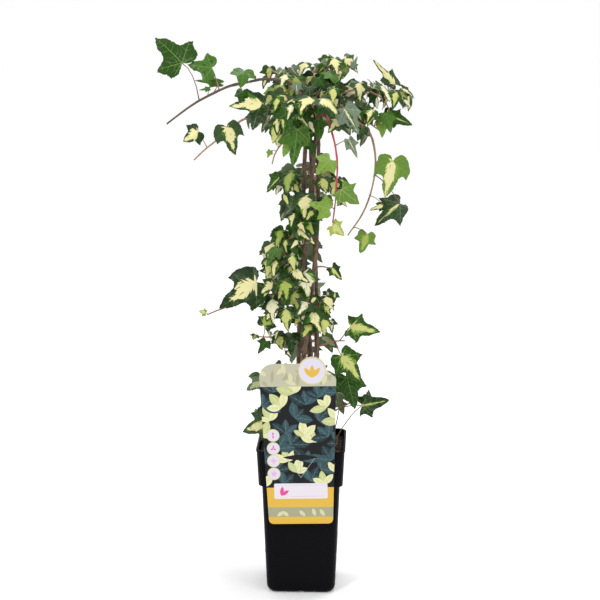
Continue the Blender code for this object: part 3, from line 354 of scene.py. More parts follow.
Leaf = namedtuple("Leaf", "root base across along up length width")
Twig = namedtuple("Twig", "points radii")
Growth = namedtuple("Growth", "twigs features leaves")
Placed = namedtuple("Placed", "tree centre reach owner kind")

# Finer growth, shown only here
FINE_SEED = 1000
FINE_TWIGS = 2
FINE_PLACE = (0.15, 0.95)
FINE_TURN = 100
FINE_RISE = (-40, 65)
FINE_RADIUS = 0.0008
FINE_TIP_RADIUS = 0.0005
FINE_LENGTH = (0.012, 0.026)
FINE_LEAF = (0.012, 0.025)
FINE_GAP = 0.009

# Real leaf outlines, half of each from the stalk's notch to the tip: x, y, and 1 at a sharp corner
OUTLINES = (
    (
        (0.0, 0.0, 1), (0.09, -0.10, 0), (0.22, -0.17, 0), (0.36, -0.14, 0), (0.44, -0.01, 0),
        (0.47, 0.13, 0), (0.52, 0.24, 0), (0.59, 0.36, 1), (0.42, 0.40, 0), (0.28, 0.44, 0),
        (0.235, 0.53, 0), (0.20, 0.68, 0), (0.11, 0.86, 0), (0.0, 1.0, 1),
    ),
    (
        (0.0, 0.0, 1), (0.10, -0.06, 0), (0.26, -0.15, 0), (0.43, -0.14, 1), (0.40, 0.0, 0),
        (0.43, 0.12, 0), (0.50, 0.22, 0), (0.60, 0.31, 1), (0.44, 0.36, 0), (0.29, 0.42, 0),
        (0.25, 0.53, 0), (0.21, 0.68, 0), (0.11, 0.86, 0), (0.0, 1.0, 1),
    ),
    (
        (0.0, 0.0, 1), (0.08, -0.07, 0), (0.22, -0.13, 0), (0.35, -0.08, 0), (0.42, 0.05, 0),
        (0.47, 0.20, 0), (0.62, 0.40, 1), (0.42, 0.41, 0), (0.25, 0.44, 0), (0.19, 0.56, 0),
        (0.16, 0.70, 0), (0.09, 0.86, 0), (0.0, 1.0, 1),
    ),
    (
        (0.0, 0.0, 1), (0.09, -0.09, 0), (0.24, -0.18, 0), (0.44, -0.13, 1), (0.44, 0.0, 0),
        (0.49, 0.09, 0), (0.61, 0.23, 1), (0.46, 0.30, 0), (0.31, 0.36, 0), (0.24, 0.46, 0),
        (0.21, 0.60, 0), (0.16, 0.75, 0), (0.07, 0.90, 0), (0.0, 1.0, 1),
    ),
    (
        (0.0, 0.0, 1), (0.10, -0.12, 0), (0.27, -0.17, 0), (0.42, -0.10, 0), (0.50, 0.06, 0),
        (0.53, 0.24, 0), (0.51, 0.47, 1), (0.38, 0.40, 0), (0.27, 0.43, 0), (0.22, 0.54, 0),
        (0.19, 0.69, 0), (0.11, 0.86, 0), (0.0, 1.0, 1),
    ),
    (
        (0.0, 0.0, 1), (0.12, -0.12, 0), (0.27, -0.15, 0), (0.41, -0.08, 0), (0.49, 0.08, 0),
        (0.54, 0.26, 1), (0.44, 0.38, 0), (0.33, 0.50, 0), (0.22, 0.70, 0), (0.10, 0.88, 0), (0.0, 1.0, 1),
    ),
)
LARGE_OUTLINES = (STAR, SHARP, LONG, BLUNT, HOODED)
SMALLER_OUTLINES = LARGE_OUTLINES + (SHALLOW,)
OUTLINE_VARIANTS = 3
OUTLINE_SWELL = (0.92, 1.08)
OUTLINE_SHIFT = 0.02
RIM_WAVER = 0.012
MARGIN, RING, CENTRE, VEIN, PATCH = range(5)

# Sizes of leaf. OUTLINE_STEPS, BLOTCH_TEETH, FLECKS, SIDE_VEINS, PATCHES and GRID have a value for each.
SMALL, MIDDLING, LARGE = range(3)
OUTLINE_STEPS = (1, 3, 5)
SMALL_LEAF = 0.016
LARGE_LEAF = 0.030

# Blotches: share of the half width to the right and left, and where they start and end along the leaf
BLOTCHES = {
    "none": None,
    "streak": (0.13, 0.10, 0.02, 0.80),
    "flame": (0.46, 0.42, 0.01, 0.78),
    "fan": (0.56, 0.34, 0.0, 0.66),
    "tongue": (0.44, 0.36, 0.0, 0.93),
    "heart": (0.70, 0.62, 0.01, 0.90),
    "half": (0.76, 0.16, 0.02, 0.86),
    "broad": (0.82, 0.80, 0.01, 0.96),
}
BLOTCH_FOOT = 0.004
LEAST_HALF_WIDTH = 0.02
RING_SHARE = 0.14
RING_REACH = 0.06
HIGHEST_RING = 0.97
BLOTCH_TEETH = (3, 6, 9)
TOOTH_PLACE = (0.1, 0.7)
BLOTCH_SWELL = (0.6, 1.15)
SWELLS = 5
SWELL_STRETCHES = 3
WIDEST_BLOTCH = 0.94
FINGER = (0.05, 0.15)
LONGEST_FINGER = 0.8
FINGER_TIP = (0.85, 1.0)
FINGER_DEPTHS = (0.85, 0.7, 0.55, 0.4)
FINGER_SWEEP = 0.35
FLECKS = (0, 2, 4)
FLECK_MARGIN = 0.1
FLECK_PLACE = 0.7
FLECK_LEAN = 0.8
FLECK_LENGTH = (0.06, 0.16)
FLECK_WIDTH = 0.022
RAY_CHANCE = 0.45
RAY_FOOT = 0.02
RAY_LENGTH = (0.35, 0.75)
RAY_WIDTH = 0.07
SLIVER_SHIFT = 0.03
SLIVER_LENGTH = (0.06, 0.15)
VEIN_ENDS = ((0.0, 0.94), (0.53, 0.31), (-0.53, 0.31), (0.33, -0.11), (-0.33, -0.11))
VEIN_WIDTH = 0.021
VEIN_MIDDLE = 0.7
VEIN_TIP = 0.3
SIDE_VEINS = (0, 3, 5)
SIDE_VEIN_PLACE = (0.4, 0.9)
SIDE_VEIN_TURN = math.radians(52)
SIDE_VEIN_REACH = 0.36
SIDE_VEIN_WIDTH = 0.009
SIDE_VEIN_BEND = 0.14
VEIN_SCATTER = (0.75, 1.25)
PATCHES = (0, 3, 8)
PATCH_HEIGHT = (-0.05, 0.85)
PATCH_PLACE = (0.15, 0.85)
PATCH_CORNERS = 6
PATCH_CORNER = (0.6, 1.3)
PATCH_SIZE = (0.03, 0.09)
PATCH_WIDTH = 0.7
GRID = (0.0, 0.13, 0.075)
GRID_SIDE = 0.6
GRID_LOW = 0.2
CUT_EPSILON = 1e-5

# How a leaf's surface bends, in leaf lengths, and where its main veins stand, in radians from its middle
VEIN_TURNS = (0.0, 1.06, 1.86)
CURL_OF_SMALL = 1.2
FEATURE_CURLS = (0.9, 1.1)
COMMON_CURLS = (1.0, 2.2)
DROOPS = (0.08, 0.26)
FOLDS = (-0.04, 0.18)
BULGES = (0.05, 0.13)
BULGE_TURN = 0.4
WAVES = (0.02, 0.05)
WAVE_COUNTS = (4, 6)
WAVE_STARTS = (0, 6)
QUILT = 0.022
QUILT_ALONG = 26.0
QUILT_ACROSS = 3
QUILT_TURN = 7
TWIST = 0.14
SWAY = 0.07
UNDER_OFFSET = 0.0003

LEAF_COLOURS = {
    "dark": (0.009, 0.027, 0.005),
    "deep": (0.017, 0.059, 0.004),
    "green": (0.043, 0.115, 0.011),
    "mid": (0.100, 0.185, 0.028),
    "fresh": (0.150, 0.255, 0.038),
    # slate is the leaf's own deep green with a painted sheen, a greyer veil that stands in for the gloss of
    # a dark leaf
    "slate": (0.030, 0.056, 0.020),
    # grey is a painted sheen: a pale grey-green that stands in for the whitish gloss on leaves turned to the
    # light
    "grey": (0.135, 0.180, 0.118),
    "lime": (0.28, 0.345, 0.070),
    "yellow": (0.46, 0.475, 0.155),
    "cream": (0.62, 0.575, 0.29),
    "ivory": (0.64, 0.61, 0.42),
    "vein": (0.135, 0.215, 0.065),
    "light_vein": (0.26, 0.36, 0.12),
    "pale_vein": (0.30, 0.35, 0.26),
    "under": (0.100, 0.155, 0.070),
    "under_pale": (0.42, 0.44, 0.24),
}
LEAF_ORDER = tuple(LEAF_COLOURS)

# Colours that are pale from below too, and the colour of a leaf's patches by that of its margin
PALE = ("yellow", "cream", "ivory")
# Dark, deep and grey leaves get slate patches, which carry a painted sheen
PATCH_COLOURS = {
    "dark": "slate",
    "deep": "slate",
    "slate": "deep",
    "green": "deep",
    "mid": "mid",
    "fresh": "mid",
    "grey": "slate",
    "lime": "fresh",
}

# How a leaf is coloured: its blotch and the colours of margin, ring, centre and veins, each a choice
Look = namedtuple("Look", "blotches margins rings centres veins")
# Parts coloured slate or grey carry a painted sheen. Whole leaves of the slate, painted_sheen_streak and
# grey looks do too.
LOOKS = {
    "cream": Look(
        "heart heart flame half broad", "dark deep slate", "deep green fresh lime",
        "cream cream ivory yellow", "green",
    ),
    "cream_flame": Look("flame", "slate", "green", "cream", "green"),
    "cream_bold": Look("heart", "dark", "green", "cream", "green"),
    "cream_bright": Look("tongue", "mid", "fresh", "cream", "fresh"),
    "cream_fan": Look("fan", "dark", "slate", "cream", "green"),
    "flame": Look("flame streak half", "dark deep green", "green mid", "cream yellow", "mid"),
    "lime": Look("heart broad flame", "deep dark", "lime fresh mid", "yellow yellow lime", "fresh"),
    "rich": Look("none", "deep", "dark green", "deep", "vein"),
    "green": Look("none", "green", "deep mid", "green", "vein"),
    "bright": Look("none", "mid fresh", "mid", "mid", "light_vein"),
    "bright_lime": Look("flame", "mid", "fresh", "lime", "fresh"),
    "dark": Look("none", "dark deep", "slate deep", "deep", "vein mid"),
    "slate": Look("none", "slate", "deep", "slate", "pale_vein"),
    "painted_sheen_streak": Look("streak", "slate", "green", "cream", "grey"),
    "grey": Look("none streak", "grey", "green slate", "ivory", "pale_vein"),
    "young": Look("none heart", "lime fresh", "lime", "yellow", "lime"),
}

# Looks of ordinary leaves with their weights, on the column and elsewhere
# Leaves of the grey look among them carry a painted sheen
COLUMN_LOOKS = (
    ("cream", 42), ("lime", 20), ("flame", 12), ("green", 7), ("rich", 7), ("dark", 6), ("grey", 3),
)
COMMON_LOOKS = (
    ("cream", 58), ("flame", 18), ("lime", 6), ("green", 4), ("rich", 4), ("bright", 2), ("dark", 22),
    ("grey", 8), ("young", 1),
)

SHOOT_COLOURS = {
    "wood_dark": (0.075, 0.048, 0.032),
    "salmon": (0.30, 0.155, 0.095),
    "tan": (0.30, 0.18, 0.105),
    "crimson": (0.42, 0.045, 0.06),
    "red_brown": (0.20, 0.085, 0.055),
    "stalk": (0.185, 0.115, 0.075),
    "stalk_green": (0.20, 0.25, 0.09),
    "tan_shade": (0.19, 0.105, 0.06),
    "salmon_shade": (0.19, 0.085, 0.05),
    "crimson_shade": (0.27, 0.03, 0.04),
    "hair": (0.19, 0.115, 0.07),
    "bark": (0.135, 0.074, 0.040),
    "furrow": (0.055, 0.031, 0.020),
}
SHOOT_ORDER = tuple(SHOOT_COLOURS)

# The darker shade in the furrows of each bark, by its place in the order
SHOOT_SHADES = {
    SHOOT_ORDER.index(light): SHOOT_ORDER.index(dark)
    for light, dark in (
        ("bark", "furrow"),
        ("wood_dark", "furrow"),
        ("salmon", "salmon_shade"),
        ("tan", "tan_shade"),
        ("crimson", "crimson_shade"),
        ("red_brown", "furrow"),
    )
}

# Long single shoots, which have bark of their own, and its colour
SHOOT_LOOKS = {
    "spray_left_high": "wood_dark",
    "spray_left_low": "salmon",
    "spray_right": "tan",
    "spray_front": "crimson",
    "spray_trailing": "red_brown",
}

# Camera matched to the photo
CAMERA_PITCH = math.radians(11.47)
CAMERA_TURN = math.radians(2.3)
CAMERA_DISTANCE = 2.241
CAMERA_HEIGHT = 0.842
CAMERA_SIDE = -0.0026
CAMERA_LENS = 104.94
CAMERA_SENSOR = 36
CAMERA_FAR = 200

# Studio. A light has a name, a place, a point that it shines at, a size and a power.
WORLD_LIGHT = 1.04
LIGHTS = (
    ("key", (-1.3, -2.2, 2.0), (0.0, 0.0, 0.45), 0.45, 24.0),
    ("fill", (1.9, -1.6, 1.6), (0.0, 0.0, 0.45), 0.5, 8.0),
    ("top", (0.4, 0.2, 2.6), (0.0, 0.0, 0.5), 0.5, 16.0),
)
FLOOR_REACH = 60.0
FLOOR_DROP = 0.0005
FLOOR_WHITE = (0.96, 0.96, 0.96)

# Roughness, grains to a metre, depth of relief, spread of roughness and shine
Finish = namedtuple("Finish", "roughness grain depth spread shine")
LEAF_FINISH = Finish(0.30, 900, 0.00012, 0.07, 0.15)
SHOOT_FINISH = Finish(0.62, 1200, 0.0002, 0.10, 0.5)
PEAT_FINISH = Finish(0.9, 800, 0.0004, 0.08, 0.5)
POT_FINISH = Finish(0.36, 300, 0.00005, 0.10, 0.04)
CARD_FINISH = Finish(0.34, 700, 0.00004, 0.06, 0.20)
FLOOR_FINISH = Finish(0.8, 40, 0.0001, 0.12, 0.5)
GRAIN_DETAIL = 5.0
RELIEF_STRENGTH = 0.5

# Twigs and stalks, rounder than their solids
LOOK_SEED = 2000
STEM_STEPS = 20
STEM_ROUND = 18
BOUGH_STEPS = 10
BOUGH_ROUND = 12
TWIG_STEPS = 4
TWIG_ROUND = 8
TWIG_SLIM = 0.9
FINE_STEPS = 3
FINE_ROUND = 5
SHOOT_ROUND = 10
SHOOT_THICK = {"spray_left_high": 1.25, "spray_right": 1.0, "spray_left_low": 0.95}
BOUGH_LOOKS = {
    "bough_left_high": "wood_dark",
    "bough_front_right": "crimson",
    "bough_right_low": "tan",
    "bough_right_high": "tan",
}
STALK_RADII = (0.0009, 0.0007, 0.00062, 0.0006, 0.0007)
STALK_BOW = (0.02, 0.14)
STALK_SWAY = 0.08
THINNEST_STALK = 0.55
STALK_ROUND = 5
STALK_LOOKS = (("stalk", 5), ("stalk_green", 2), ("red_brown", 3))
FEATURE_STALKS = ("stalk", "red_brown", "salmon")

# Bark, furrowed along a limb, with a knot now and then
BARK_SEED_STEP = 10
STEM_BARK_SEED = 1
BOUGH_BARK_SEED = 3
BARK_NOISE = (1.0, 2.0, 4)
BARK_ROUND = 2.2
BARK_ALONG = 130.0
BARK_DEPTH = 0.20
BARK_SPLIT = -0.12
KNOT_GAP = 0.037
KNOT_HEIGHT = 0.20
KNOT_SHARPNESS = 40

# Short clinging roots on the climbing stems
HAIR_SEED = 4
HAIR_TUFTS = 60
HAIR_PLACE = (0.03, 0.97)
HAIR_COUNT = (2, 5)
HAIR_SWING = 25
HAIR_RISE = (-20, 30)
HAIR_SPREAD = 0.003
HAIR_SEAT = 0.8
HAIR_LENGTH = (0.0015, 0.005)
HAIR_BEND = 0.6
HAIR_DROOP = (0, 0.5)
HAIR_RADII = (0.00028, 0.00022, 0.0001)
HAIR_ROUND = 3

# Thin shoots from the soil
SOIL_SHOOT_SEED = 6
SOIL_SHOOT_FOOT = (0.040, 0.002, 0.1885)
SOIL_SHOOT_RISE = 0.006
SOIL_SHOOT_BENDS = (0.35, 0.7)
SOIL_SHOOT_ARCH = ((0, 0, 0), (0.002, -0.002, 0.012), (0.007, -0.006, 0.011), (0.003, -0.014, 0.001))
SOIL_SHOOT_STEPS = 5
SOIL_SHOOT_WAVER = 0.0004
SOIL_SHOOT_RADII = (0.0007, 0.00056)

# Peat
PEAT_COLOURS = {
    "dark": (0.016, 0.011, 0.008),
    "brown": (0.080, 0.050, 0.030),
    "fibre": (0.27, 0.17, 0.095),
}
DARK_PEAT, BROWN_PEAT, FIBRE = range(3)
SOIL_SEED = 8
SOIL_STEPS = 60
SOIL_NARROW = 0.001
SOIL_RELIEF = 0.003
SOIL_DIP = 0.0012
SOIL_CREST = 0.001
SOIL_NOISE = ((160, 0.8, 5, 0.0016), (40, 1.0, 2, 0.001))
SOIL_MARGIN = 0.004
SOIL_MIX = (DARK_PEAT,) * 5 + (BROWN_PEAT,)
SOIL_CHIPS = 700
CHIP_MIX = (DARK_PEAT,) * 2 + (BROWN_PEAT,) * 2 + (FIBRE,)
CHIP_DEPTH = 0.0008
CHIP_SIZE = (0.0006, 0.0022)
CHIP_STRETCH = ((0.7, 1.9), (0.7, 1.4), (0.4, 0.8))
CHIP_TILT = 0.5
CHIP_CORNER = (0.7, 1.2)
SOIL_FIBRES = 90
FIBRE_HEIGHT = (-0.0005, 0.001)
FIBRE_TURN = 90
FIBRE_RISE = 20
FIBRE_FALL = -30
FIBRE_LENGTH = (0.004, 0.012)
FIBRE_WANDER = 12
FIBRE_RADII = (0.0003, 0.0002)
FIBRE_RINGS = 6
FIBRE_ROUND = 4

# The pot's colour and rounding, and its moulding seam by height and how far it stands out
POT_BLACK = (0.0030, 0.0028, 0.0040)
CORNER_STEPS = 8
ROUND_STEPS = 6
POT_SEAM = ((0.0556, 0.0), (0.0560, 0.0003), (0.0566, 0.0003), (0.0570, 0.0))

# Printed card
CARD_COLOURS = {
    "band": (0.40, 0.39, 0.285),
    "pale_band": (0.51, 0.50, 0.31),
    "pink": (0.60, 0.06, 0.24),
    "pale_pink": (0.58, 0.34, 0.47),
    "band_shade": (0.33, 0.315, 0.215),
    "picture": (0.003, 0.004, 0.006),
    "teal": (0.026, 0.062, 0.072),
    "deep_teal": (0.011, 0.026, 0.032),
    "cream_print": (0.60, 0.60, 0.34),
    "green_print": (0.42, 0.45, 0.20),
    "line": (0.080, 0.150, 0.160),
    "disc": (0.56, 0.53, 0.62),
    "rim": (0.55, 0.50, 0.26),
    "bar": (0.004, 0.005, 0.006),
    "cut": (0.32, 0.36, 0.36),
    "yellow": (0.58, 0.36, 0.05),
    "plate": (0.60, 0.57, 0.62),
    "strip": (0.30, 0.30, 0.19),
    "edge": (0.55, 0.55, 0.52),
}
PICTURE_LOW = 0.1505
PICTURE_HIGH = 0.2858
STRIP_Z = (0.1105, 0.1236)
PLATE_BOX = (-0.034, 0.0355, 0.1352, 0.156)
PLATE_CORNER = 0.002
PLATE_PETAL = (-0.025, 0.1395, 0.0125, 0.0048)
PLATE_TURNS = (35, 80)
PLATE_LINES = (0.1385, 0.1535)
PLATE_LINE_ENDS = (-0.013, 0.0325)
BAR_PETAL = (-0.022, 0.191, 0.046, 0.0075, 0)
TAB_PETAL = (0.0165, 0.0062)
TAB_PETAL_DROP = 0.009
TAB_PETAL_TURNS = (52, 90, 128)
TAB_DISC = (TAB_X, TAB_Z - 0.0005)
TAB_DISC_RADII = (("rim", TAB_RADIUS - 0.0006), ("disc", TAB_RADIUS - 0.0022))
TAB_DISC_CORNERS = 36
DISC_X = -0.0337
DISC_Z = (0.2209, 0.2034, 0.1866, 0.1693)
DISC_RADII = (("rim", 0.0085), ("disc", 0.0074))
DISC_CORNERS = 24
DISC_PETAL = (0.0042, 0.0021)
DISC_PETAL_COLOURS = ("pink", "pink", "pale_pink", "pale_pink")
PRINT_LINE = 0.0005
CUT_LINES = (
    (-0.0165, 0.1895, 0.0012, 0.1638),
    (0.0012, 0.1638, 0.0195, 0.1897),
    (0.0012, 0.1862, 0.0010, 0.1687),
)
FRAME_STEPS = 5
PETAL_STEPS = 7
PETAL_ROUND = 0.8
PRINT_SCALE = 10
CARD_SEED = 3

# Petals on the card's top band: colour, count, left end, reach, heights, lengths, width and turns
BAND_PETALS = (
    ("band_shade", 12, -0.052, 0.098, (0.286, 0.303), (0.010, 0.018), 0.005, (10, 170)),
    ("pale_band", 9, -0.046, 0.092, (0.287, 0.302), (0.008, 0.016), 0.006, (20, 160)),
)
STRIP_PETALS = (-0.031, -0.016, 0.006, 0.019, 0.031)
STRIP_PETAL = (0.011, 0.005)
STRIP_PETAL_RAISE = 0.001
STRIP_TURNS = (30, 150)

# Sprigs of three petals in the card's picture, two in five of them pale
SPRIG_ROWS = 8
SPRIG_COLUMNS = 4
SPRIG_LEFT = -0.056
SPRIG_REACH = 0.112
SPRIG_SHIFT = (0.1, 0.5)
SPRIG_RAISE = (0.0, 0.6)
SPRIG_LEAN = (30, 150)
SPRIG_TURNS = (0, 52, -52)
SPRIG_LEAF = (0.016, 0.026)
SPRIG_LEAF_WIDTH = (0.42, 0.55)
PALE_LEAF_SWELL = 0.94
PALE_CYCLE = 5
PALE_PLACES = (0, 3)
PALE_SPRIGS = (
    ("green_print", "cream_print", "cream_print"),
    ("cream_print", "green_print", "cream_print"),
)
DARK_SPRIGS = (
    ("teal", "deep_teal", "teal"),
    ("deep_teal", "teal", "deep_teal"),
    ("deep_teal", "teal", "teal"),
)
PRINT_LINES = {
    "teal": "line",
    "deep_teal": "line",
    "cream_print": "green_print",
    "green_print": "cream_print",
}
MIDRIB_REACH = 0.9
PETAL_VEINS = ((0.25, 30), (0.25, -30), (0.5, 30), (0.5, -30))
PETAL_VEIN_REACH = 0.24
PETAL_VEIN_WIDTH = 0.0003


def direction(azimuth, rise):
    """Unit vector from an azimuth and a slope in degrees."""
    a = math.radians(azimuth)
    r = math.radians(rise)
    return Vector((math.cos(a) * math.cos(r), math.sin(a) * math.cos(r), math.sin(r)))


def stacked_rings(rings):
    """Closed shape through rings of equally many points, from the bottom ring up."""
    count = len(rings[0])
    verts = [point for ring in rings for point in ring]
    faces = []
    for level in range(len(rings) - 1):
        for k in range(count):
            a = level * count + k
            b = level * count + (k + 1) % count
            faces.append((a, b, b + count, a + count))
    faces.append(tuple(reversed(range(count))))
    top = (len(rings) - 1) * count
    faces.append(tuple(range(top, top + count)))
    return verts, faces


def inner_profile(gap):
    """Width and height of the pot's inside from its floor to its rim, moved in by a gap."""
    collar_foot = POT_HEIGHT - COLLAR_HEIGHT
    inset = 2 * (WALL + gap)
    return (
        (BODY_FOOT_WIDTH - inset - 2 * FOOT_ROUND, POT_FLOOR + gap),
        (BODY_FOOT_WIDTH - inset, POT_FLOOR + FOOT_ROUND_HEIGHT + gap),
        (BODY_TOP_WIDTH - inset, collar_foot - STEP_DROP / 2),
        (COLLAR_FOOT_WIDTH - inset, collar_foot + STEP_DROP),
        (RIM_WIDTH - inset, POT_HEIGHT),
    )


def box_shape(low, high):
    """Box between two opposite corners."""
    ring = [(low[0], low[1]), (high[0], low[1]), (high[0], high[1]), (low[0], high[1])]
    rings = [[Vector((x, y, z)) for x, y in ring] for z in (low[2], high[2])]
    return stacked_rings(rings)


def arc(centre_x, centre_z, radius, start, end, steps):
    """Points along a round stretch between two angles in degrees."""
    points = []
    for step in range(steps + 1):
        turn = math.radians(start + (end - start) * step / steps)
        points.append((centre_x + radius * math.cos(turn), centre_z + radius * math.sin(turn)))
    return points


def card_outline():
    """Front outline of the card, anticlockwise, before its lean."""
    foot = CARD_FOOT_WIDTH / 2
    top = CARD_TOP_WIDTH / 2
    r = CARD_CORNER
    right = CARD_SHOULDER - RIGHT_CORNER_DROP
    shoulder = SHOULDER_RADIUS
    points = arc(-foot + r, CARD_FOOT + r, r, 180, 270, CARD_CORNER_STEPS)
    points += arc(foot - r, CARD_FOOT + r, r, 270, 360, CARD_CORNER_STEPS)
    points += arc(top - r, right - r, r, 0, RIGHT_CORNER_TURN, CARD_CORNER_STEPS)
    points += arc(TAB_X, TAB_Z, TAB_RADIUS, 0, TAB_TURN, TAB_STEPS)
    points += arc(-top + shoulder, CARD_SHOULDER - shoulder, shoulder, 90, 180, SHOULDER_STEPS)
    return points


def card_back():
    """Y of the card's rear face, just clear of the lip."""
    return -(RIM_WIDTH / 2 + LIP_OUT + SEAT)


def leaned(x, z):
    """A point of the card's face turned about the middle of its hook."""
    dz = z - POT_HEIGHT
    return (
        CARD_MIDDLE_X + x * math.cos(CARD_LEAN) - dz * math.sin(CARD_LEAN),
        POT_HEIGHT + x * math.sin(CARD_LEAN) + dz * math.cos(CARD_LEAN),
    )


def ring_about(centre, side, other, radius, count):
    """Points evenly round a centre, from side towards other."""
    turns = [2 * math.pi * k / count for k in range(count)]
    return [centre + (side * math.cos(turn) + other * math.sin(turn)) * radius for turn in turns]


def tube(points, radii, sides, first_along=None):
    """Closed tapering tube through points, with flat ends."""
    last = len(points) - 1
    rings = []
    side = None
    for i, point in enumerate(points):
        along = (points[min(i + 1, last)] - points[max(i - 1, 0)]).normalized()
        if i == 0 and first_along is not None:
            along = first_along
        if side is None:
            side = along.orthogonal()
        side = (side - along * side.dot(along)).normalized()
        rings.append(ring_about(point, side, along.cross(side), radii[i], sides))
    return stacked_rings(rings)


def tapered(start, end, count):
    return [start + (end - start) * i / (count - 1) for i in range(count)]


def curved_path(start, azimuth, turn, rise, fall, length, rings, rng=None, wander=0.0):
    """Line that leaves start along azimuth and rise and bends evenly until it points along fall."""
    points = [start.copy()]
    steps = rings - 1
    for i in range(steps):
        t = (i + 0.5) / steps
        a = azimuth + turn * t
        r = rise + (fall - rise) * t
        if rng is not None:
            a += rng.uniform(-wander, wander)
            r += rng.uniform(-wander, wander)
        points.append(points[-1] + direction(a, r) * (length / steps))
    return points


def stem_centre(stem, t):
    """Centre of a stem at a share t of its way from the soil to its tip."""
    foot = SOIL_TOP + SEAT
    z = foot + (stem.tip_height - foot) * t
    lean = (z - foot) / (COLUMN_HEAD - foot)
    x = COLUMN_FOOT_X + (COLUMN_HEAD_X - COLUMN_FOOT_X) * lean
    spread = STEM_SPREAD_FOOT + (STEM_SPREAD_HEAD - STEM_SPREAD_FOOT) * math.sqrt(lean)
    spread *= 1 + STEM_WAVER * math.sin(STEM_WAVES * lean + math.radians(stem.phase))
    turn = math.radians(stem.phase + STEM_TWIST * lean)
    return Vector((x + spread * math.cos(turn), spread * math.sin(turn), z))


def stem_radius(stem, t):
    """Radius of a stem at a share of its way up, wider near its foot."""
    foot = SOIL_TOP + SEAT
    height = (stem.tip_height - foot) * t
    plain = stem.foot_radius + (stem.tip_radius - stem.foot_radius) * t
    return plain * (1 + FLARE * math.exp(-height / FLARE_HEIGHT))


def stem_limb(stem):
    shares = list(FLARE_SHARES)
    plain = STEM_RINGS - len(shares)
    shares += [FIRST_PLAIN_SHARE + (1 - FIRST_PLAIN_SHARE) * i / (plain - 1) for i in range(plain)]
    points = [stem_centre(stem, t) for t in shares]
    radii = [stem_radius(stem, t) for t in shares]
    return Twig(points, radii)


def gap_to(tree, points):
    """Least distance from the points to a shape."""
    return min(tree.find_nearest(point)[3] for point in points)


def seated_start(limb_tree, near, out, radius):
    """Start of a limb whose flat end faces near along out, with the seat's gap to the limb it leaves."""
    side = out.orthogonal().normalized()
    other = out.cross(side)
    away = SEAT_SEARCH
    for _ in range(SEAT_ROUNDS):
        spot = near + out * away
        rim = ring_about(spot, side, other, radius, SEAT_POINTS)
        away += SEAT - gap_to(limb_tree, [spot] + rim)
    return near + out * away


def point_at(limb, height):
    """Centre of an upright limb at a height."""
    for low, high in zip(limb.points, limb.points[1:]):
        if low.z <= height <= high.z:
            return low.lerp(high, (height - low.z) / (high.z - low.z))
    return limb.points[-1]


def stem_on_side(height, azimuth, limbs):
    """Name of the stem that stands furthest towards an azimuth at a height."""
    out = direction(azimuth, 0)
    tall = [stem.name for stem in STEMS if stem.tip_height > height + STEM_END_MARGIN]
    return max(tall, key=lambda name: point_at(limbs[name], height).dot(out))


def start_on(root, height, azimuth, rise, radius, limbs, trees):
    """Where a bough or twig starts, along what and on which limb: at its tip, or at a stem's side."""
    if height is None:
        limb = limbs[root]
        end = limb.points[-1]
        along = (end - limb.points[-2]).normalized()
        return end + along * SEAT, along, root
    name = stem_on_side(height, azimuth, limbs)
    out = direction(azimuth, rise)
    return seated_start(trees[name], point_at(limbs[name], height), out, radius), out, name


def with_first_step(start, along, rest):
    """Keeps the first stretch of a path in line with the end that it faces."""
    shift = start + along * (rest[1] - rest[0]).length - rest[1]
    return [start] + [point + shift for point in rest[1:]]


def bough_limb(bough, limbs, trees):
    start, along, _ = start_on(
        bough.stem, bough.height, bough.azimuth, bough.rise, bough.root_radius, limbs, trees
    )
    path = curved_path(
        start, bough.azimuth, bough.turn, bough.rise, bough.fall, bough.length, BOUGH_RINGS
    )
    path = with_first_step(start, along, path)
    return Twig(path, tapered(bough.root_radius, bough.tip_radius, BOUGH_RINGS))


def blade_height(x, y):
    """Height of a leaf's surface over its flat plane, in leaf lengths."""
    return -LEAF_DROOP * y * y - LEAF_FOLD * abs(x)


def leaf_solid(leaf, grow=0.0):
    """Closed leaf and stalk: a thin lens in the lobed outline, run into a three-sided stalk."""
    size = leaf.length
    outline = [(x * leaf.width, y) for x, y in HALF_OUTLINE]
    chain = outline + [LEAF_TIP] + [(-x, y) for x, y in reversed(outline)]
    verts = []
    for x, y in chain:
        away = Vector((x, y - LEAF_CREST)).normalized() * (grow / size)
        x += away.x
        y += away.y
        lift = blade_height(x, y)
        verts.append(leaf.base + (leaf.across * x + leaf.along * y + leaf.up * lift) * size)
    count = len(verts)
    half = max(LEAF_THICKNESS * size, LEAST_THICKNESS) / 2 + grow
    crest = leaf.base + (leaf.along * LEAF_CREST + leaf.up * blade_height(0, LEAF_CREST)) * size
    verts.append(crest + leaf.up * half)
    verts.append(crest - leaf.up * half)
    verts += stalk_rings(leaf, grow)
    top, under = count, count + 1
    a0, b0, c0, a, b, c = range(count + 2, count + 2 + STALK_VERTS)
    ring = [b] + list(range(count)) + [c]
    faces = []
    for first, second in zip(ring, ring[1:]):
        faces.append((top, first, second))
        faces.append((under, second, first))
    faces += [(top, c, a), (top, a, b), (under, b, c)]
    faces += [(a0, b0, b, a), (b0, c0, c, b), (c0, a0, a, c), (c0, b0, a0)]
    return verts, faces


def stalk_rings(leaf, grow):
    """Three points round the stalk's root and three round its end at the leaf.

    A three-sided stalk's flat sides stand at half its radius, so the radius grows twice as much.
    """
    run = (leaf.base - leaf.root).normalized()
    middle = (run + leaf.along).normalized()
    points = []
    for spot, normal, radius in (
        (leaf.root, run, STALK_RADIUS + 2 * grow),
        (leaf.base, middle, STALK_TIP_RADIUS + 2 * grow),
    ):
        lift = (leaf.up - middle * leaf.up.dot(middle)).normalized()
        lift = (lift - normal * lift.dot(normal)).normalized()
        points += ring_about(spot, lift, normal.cross(lift), radius, STALK_VERTS // 2)
    return points


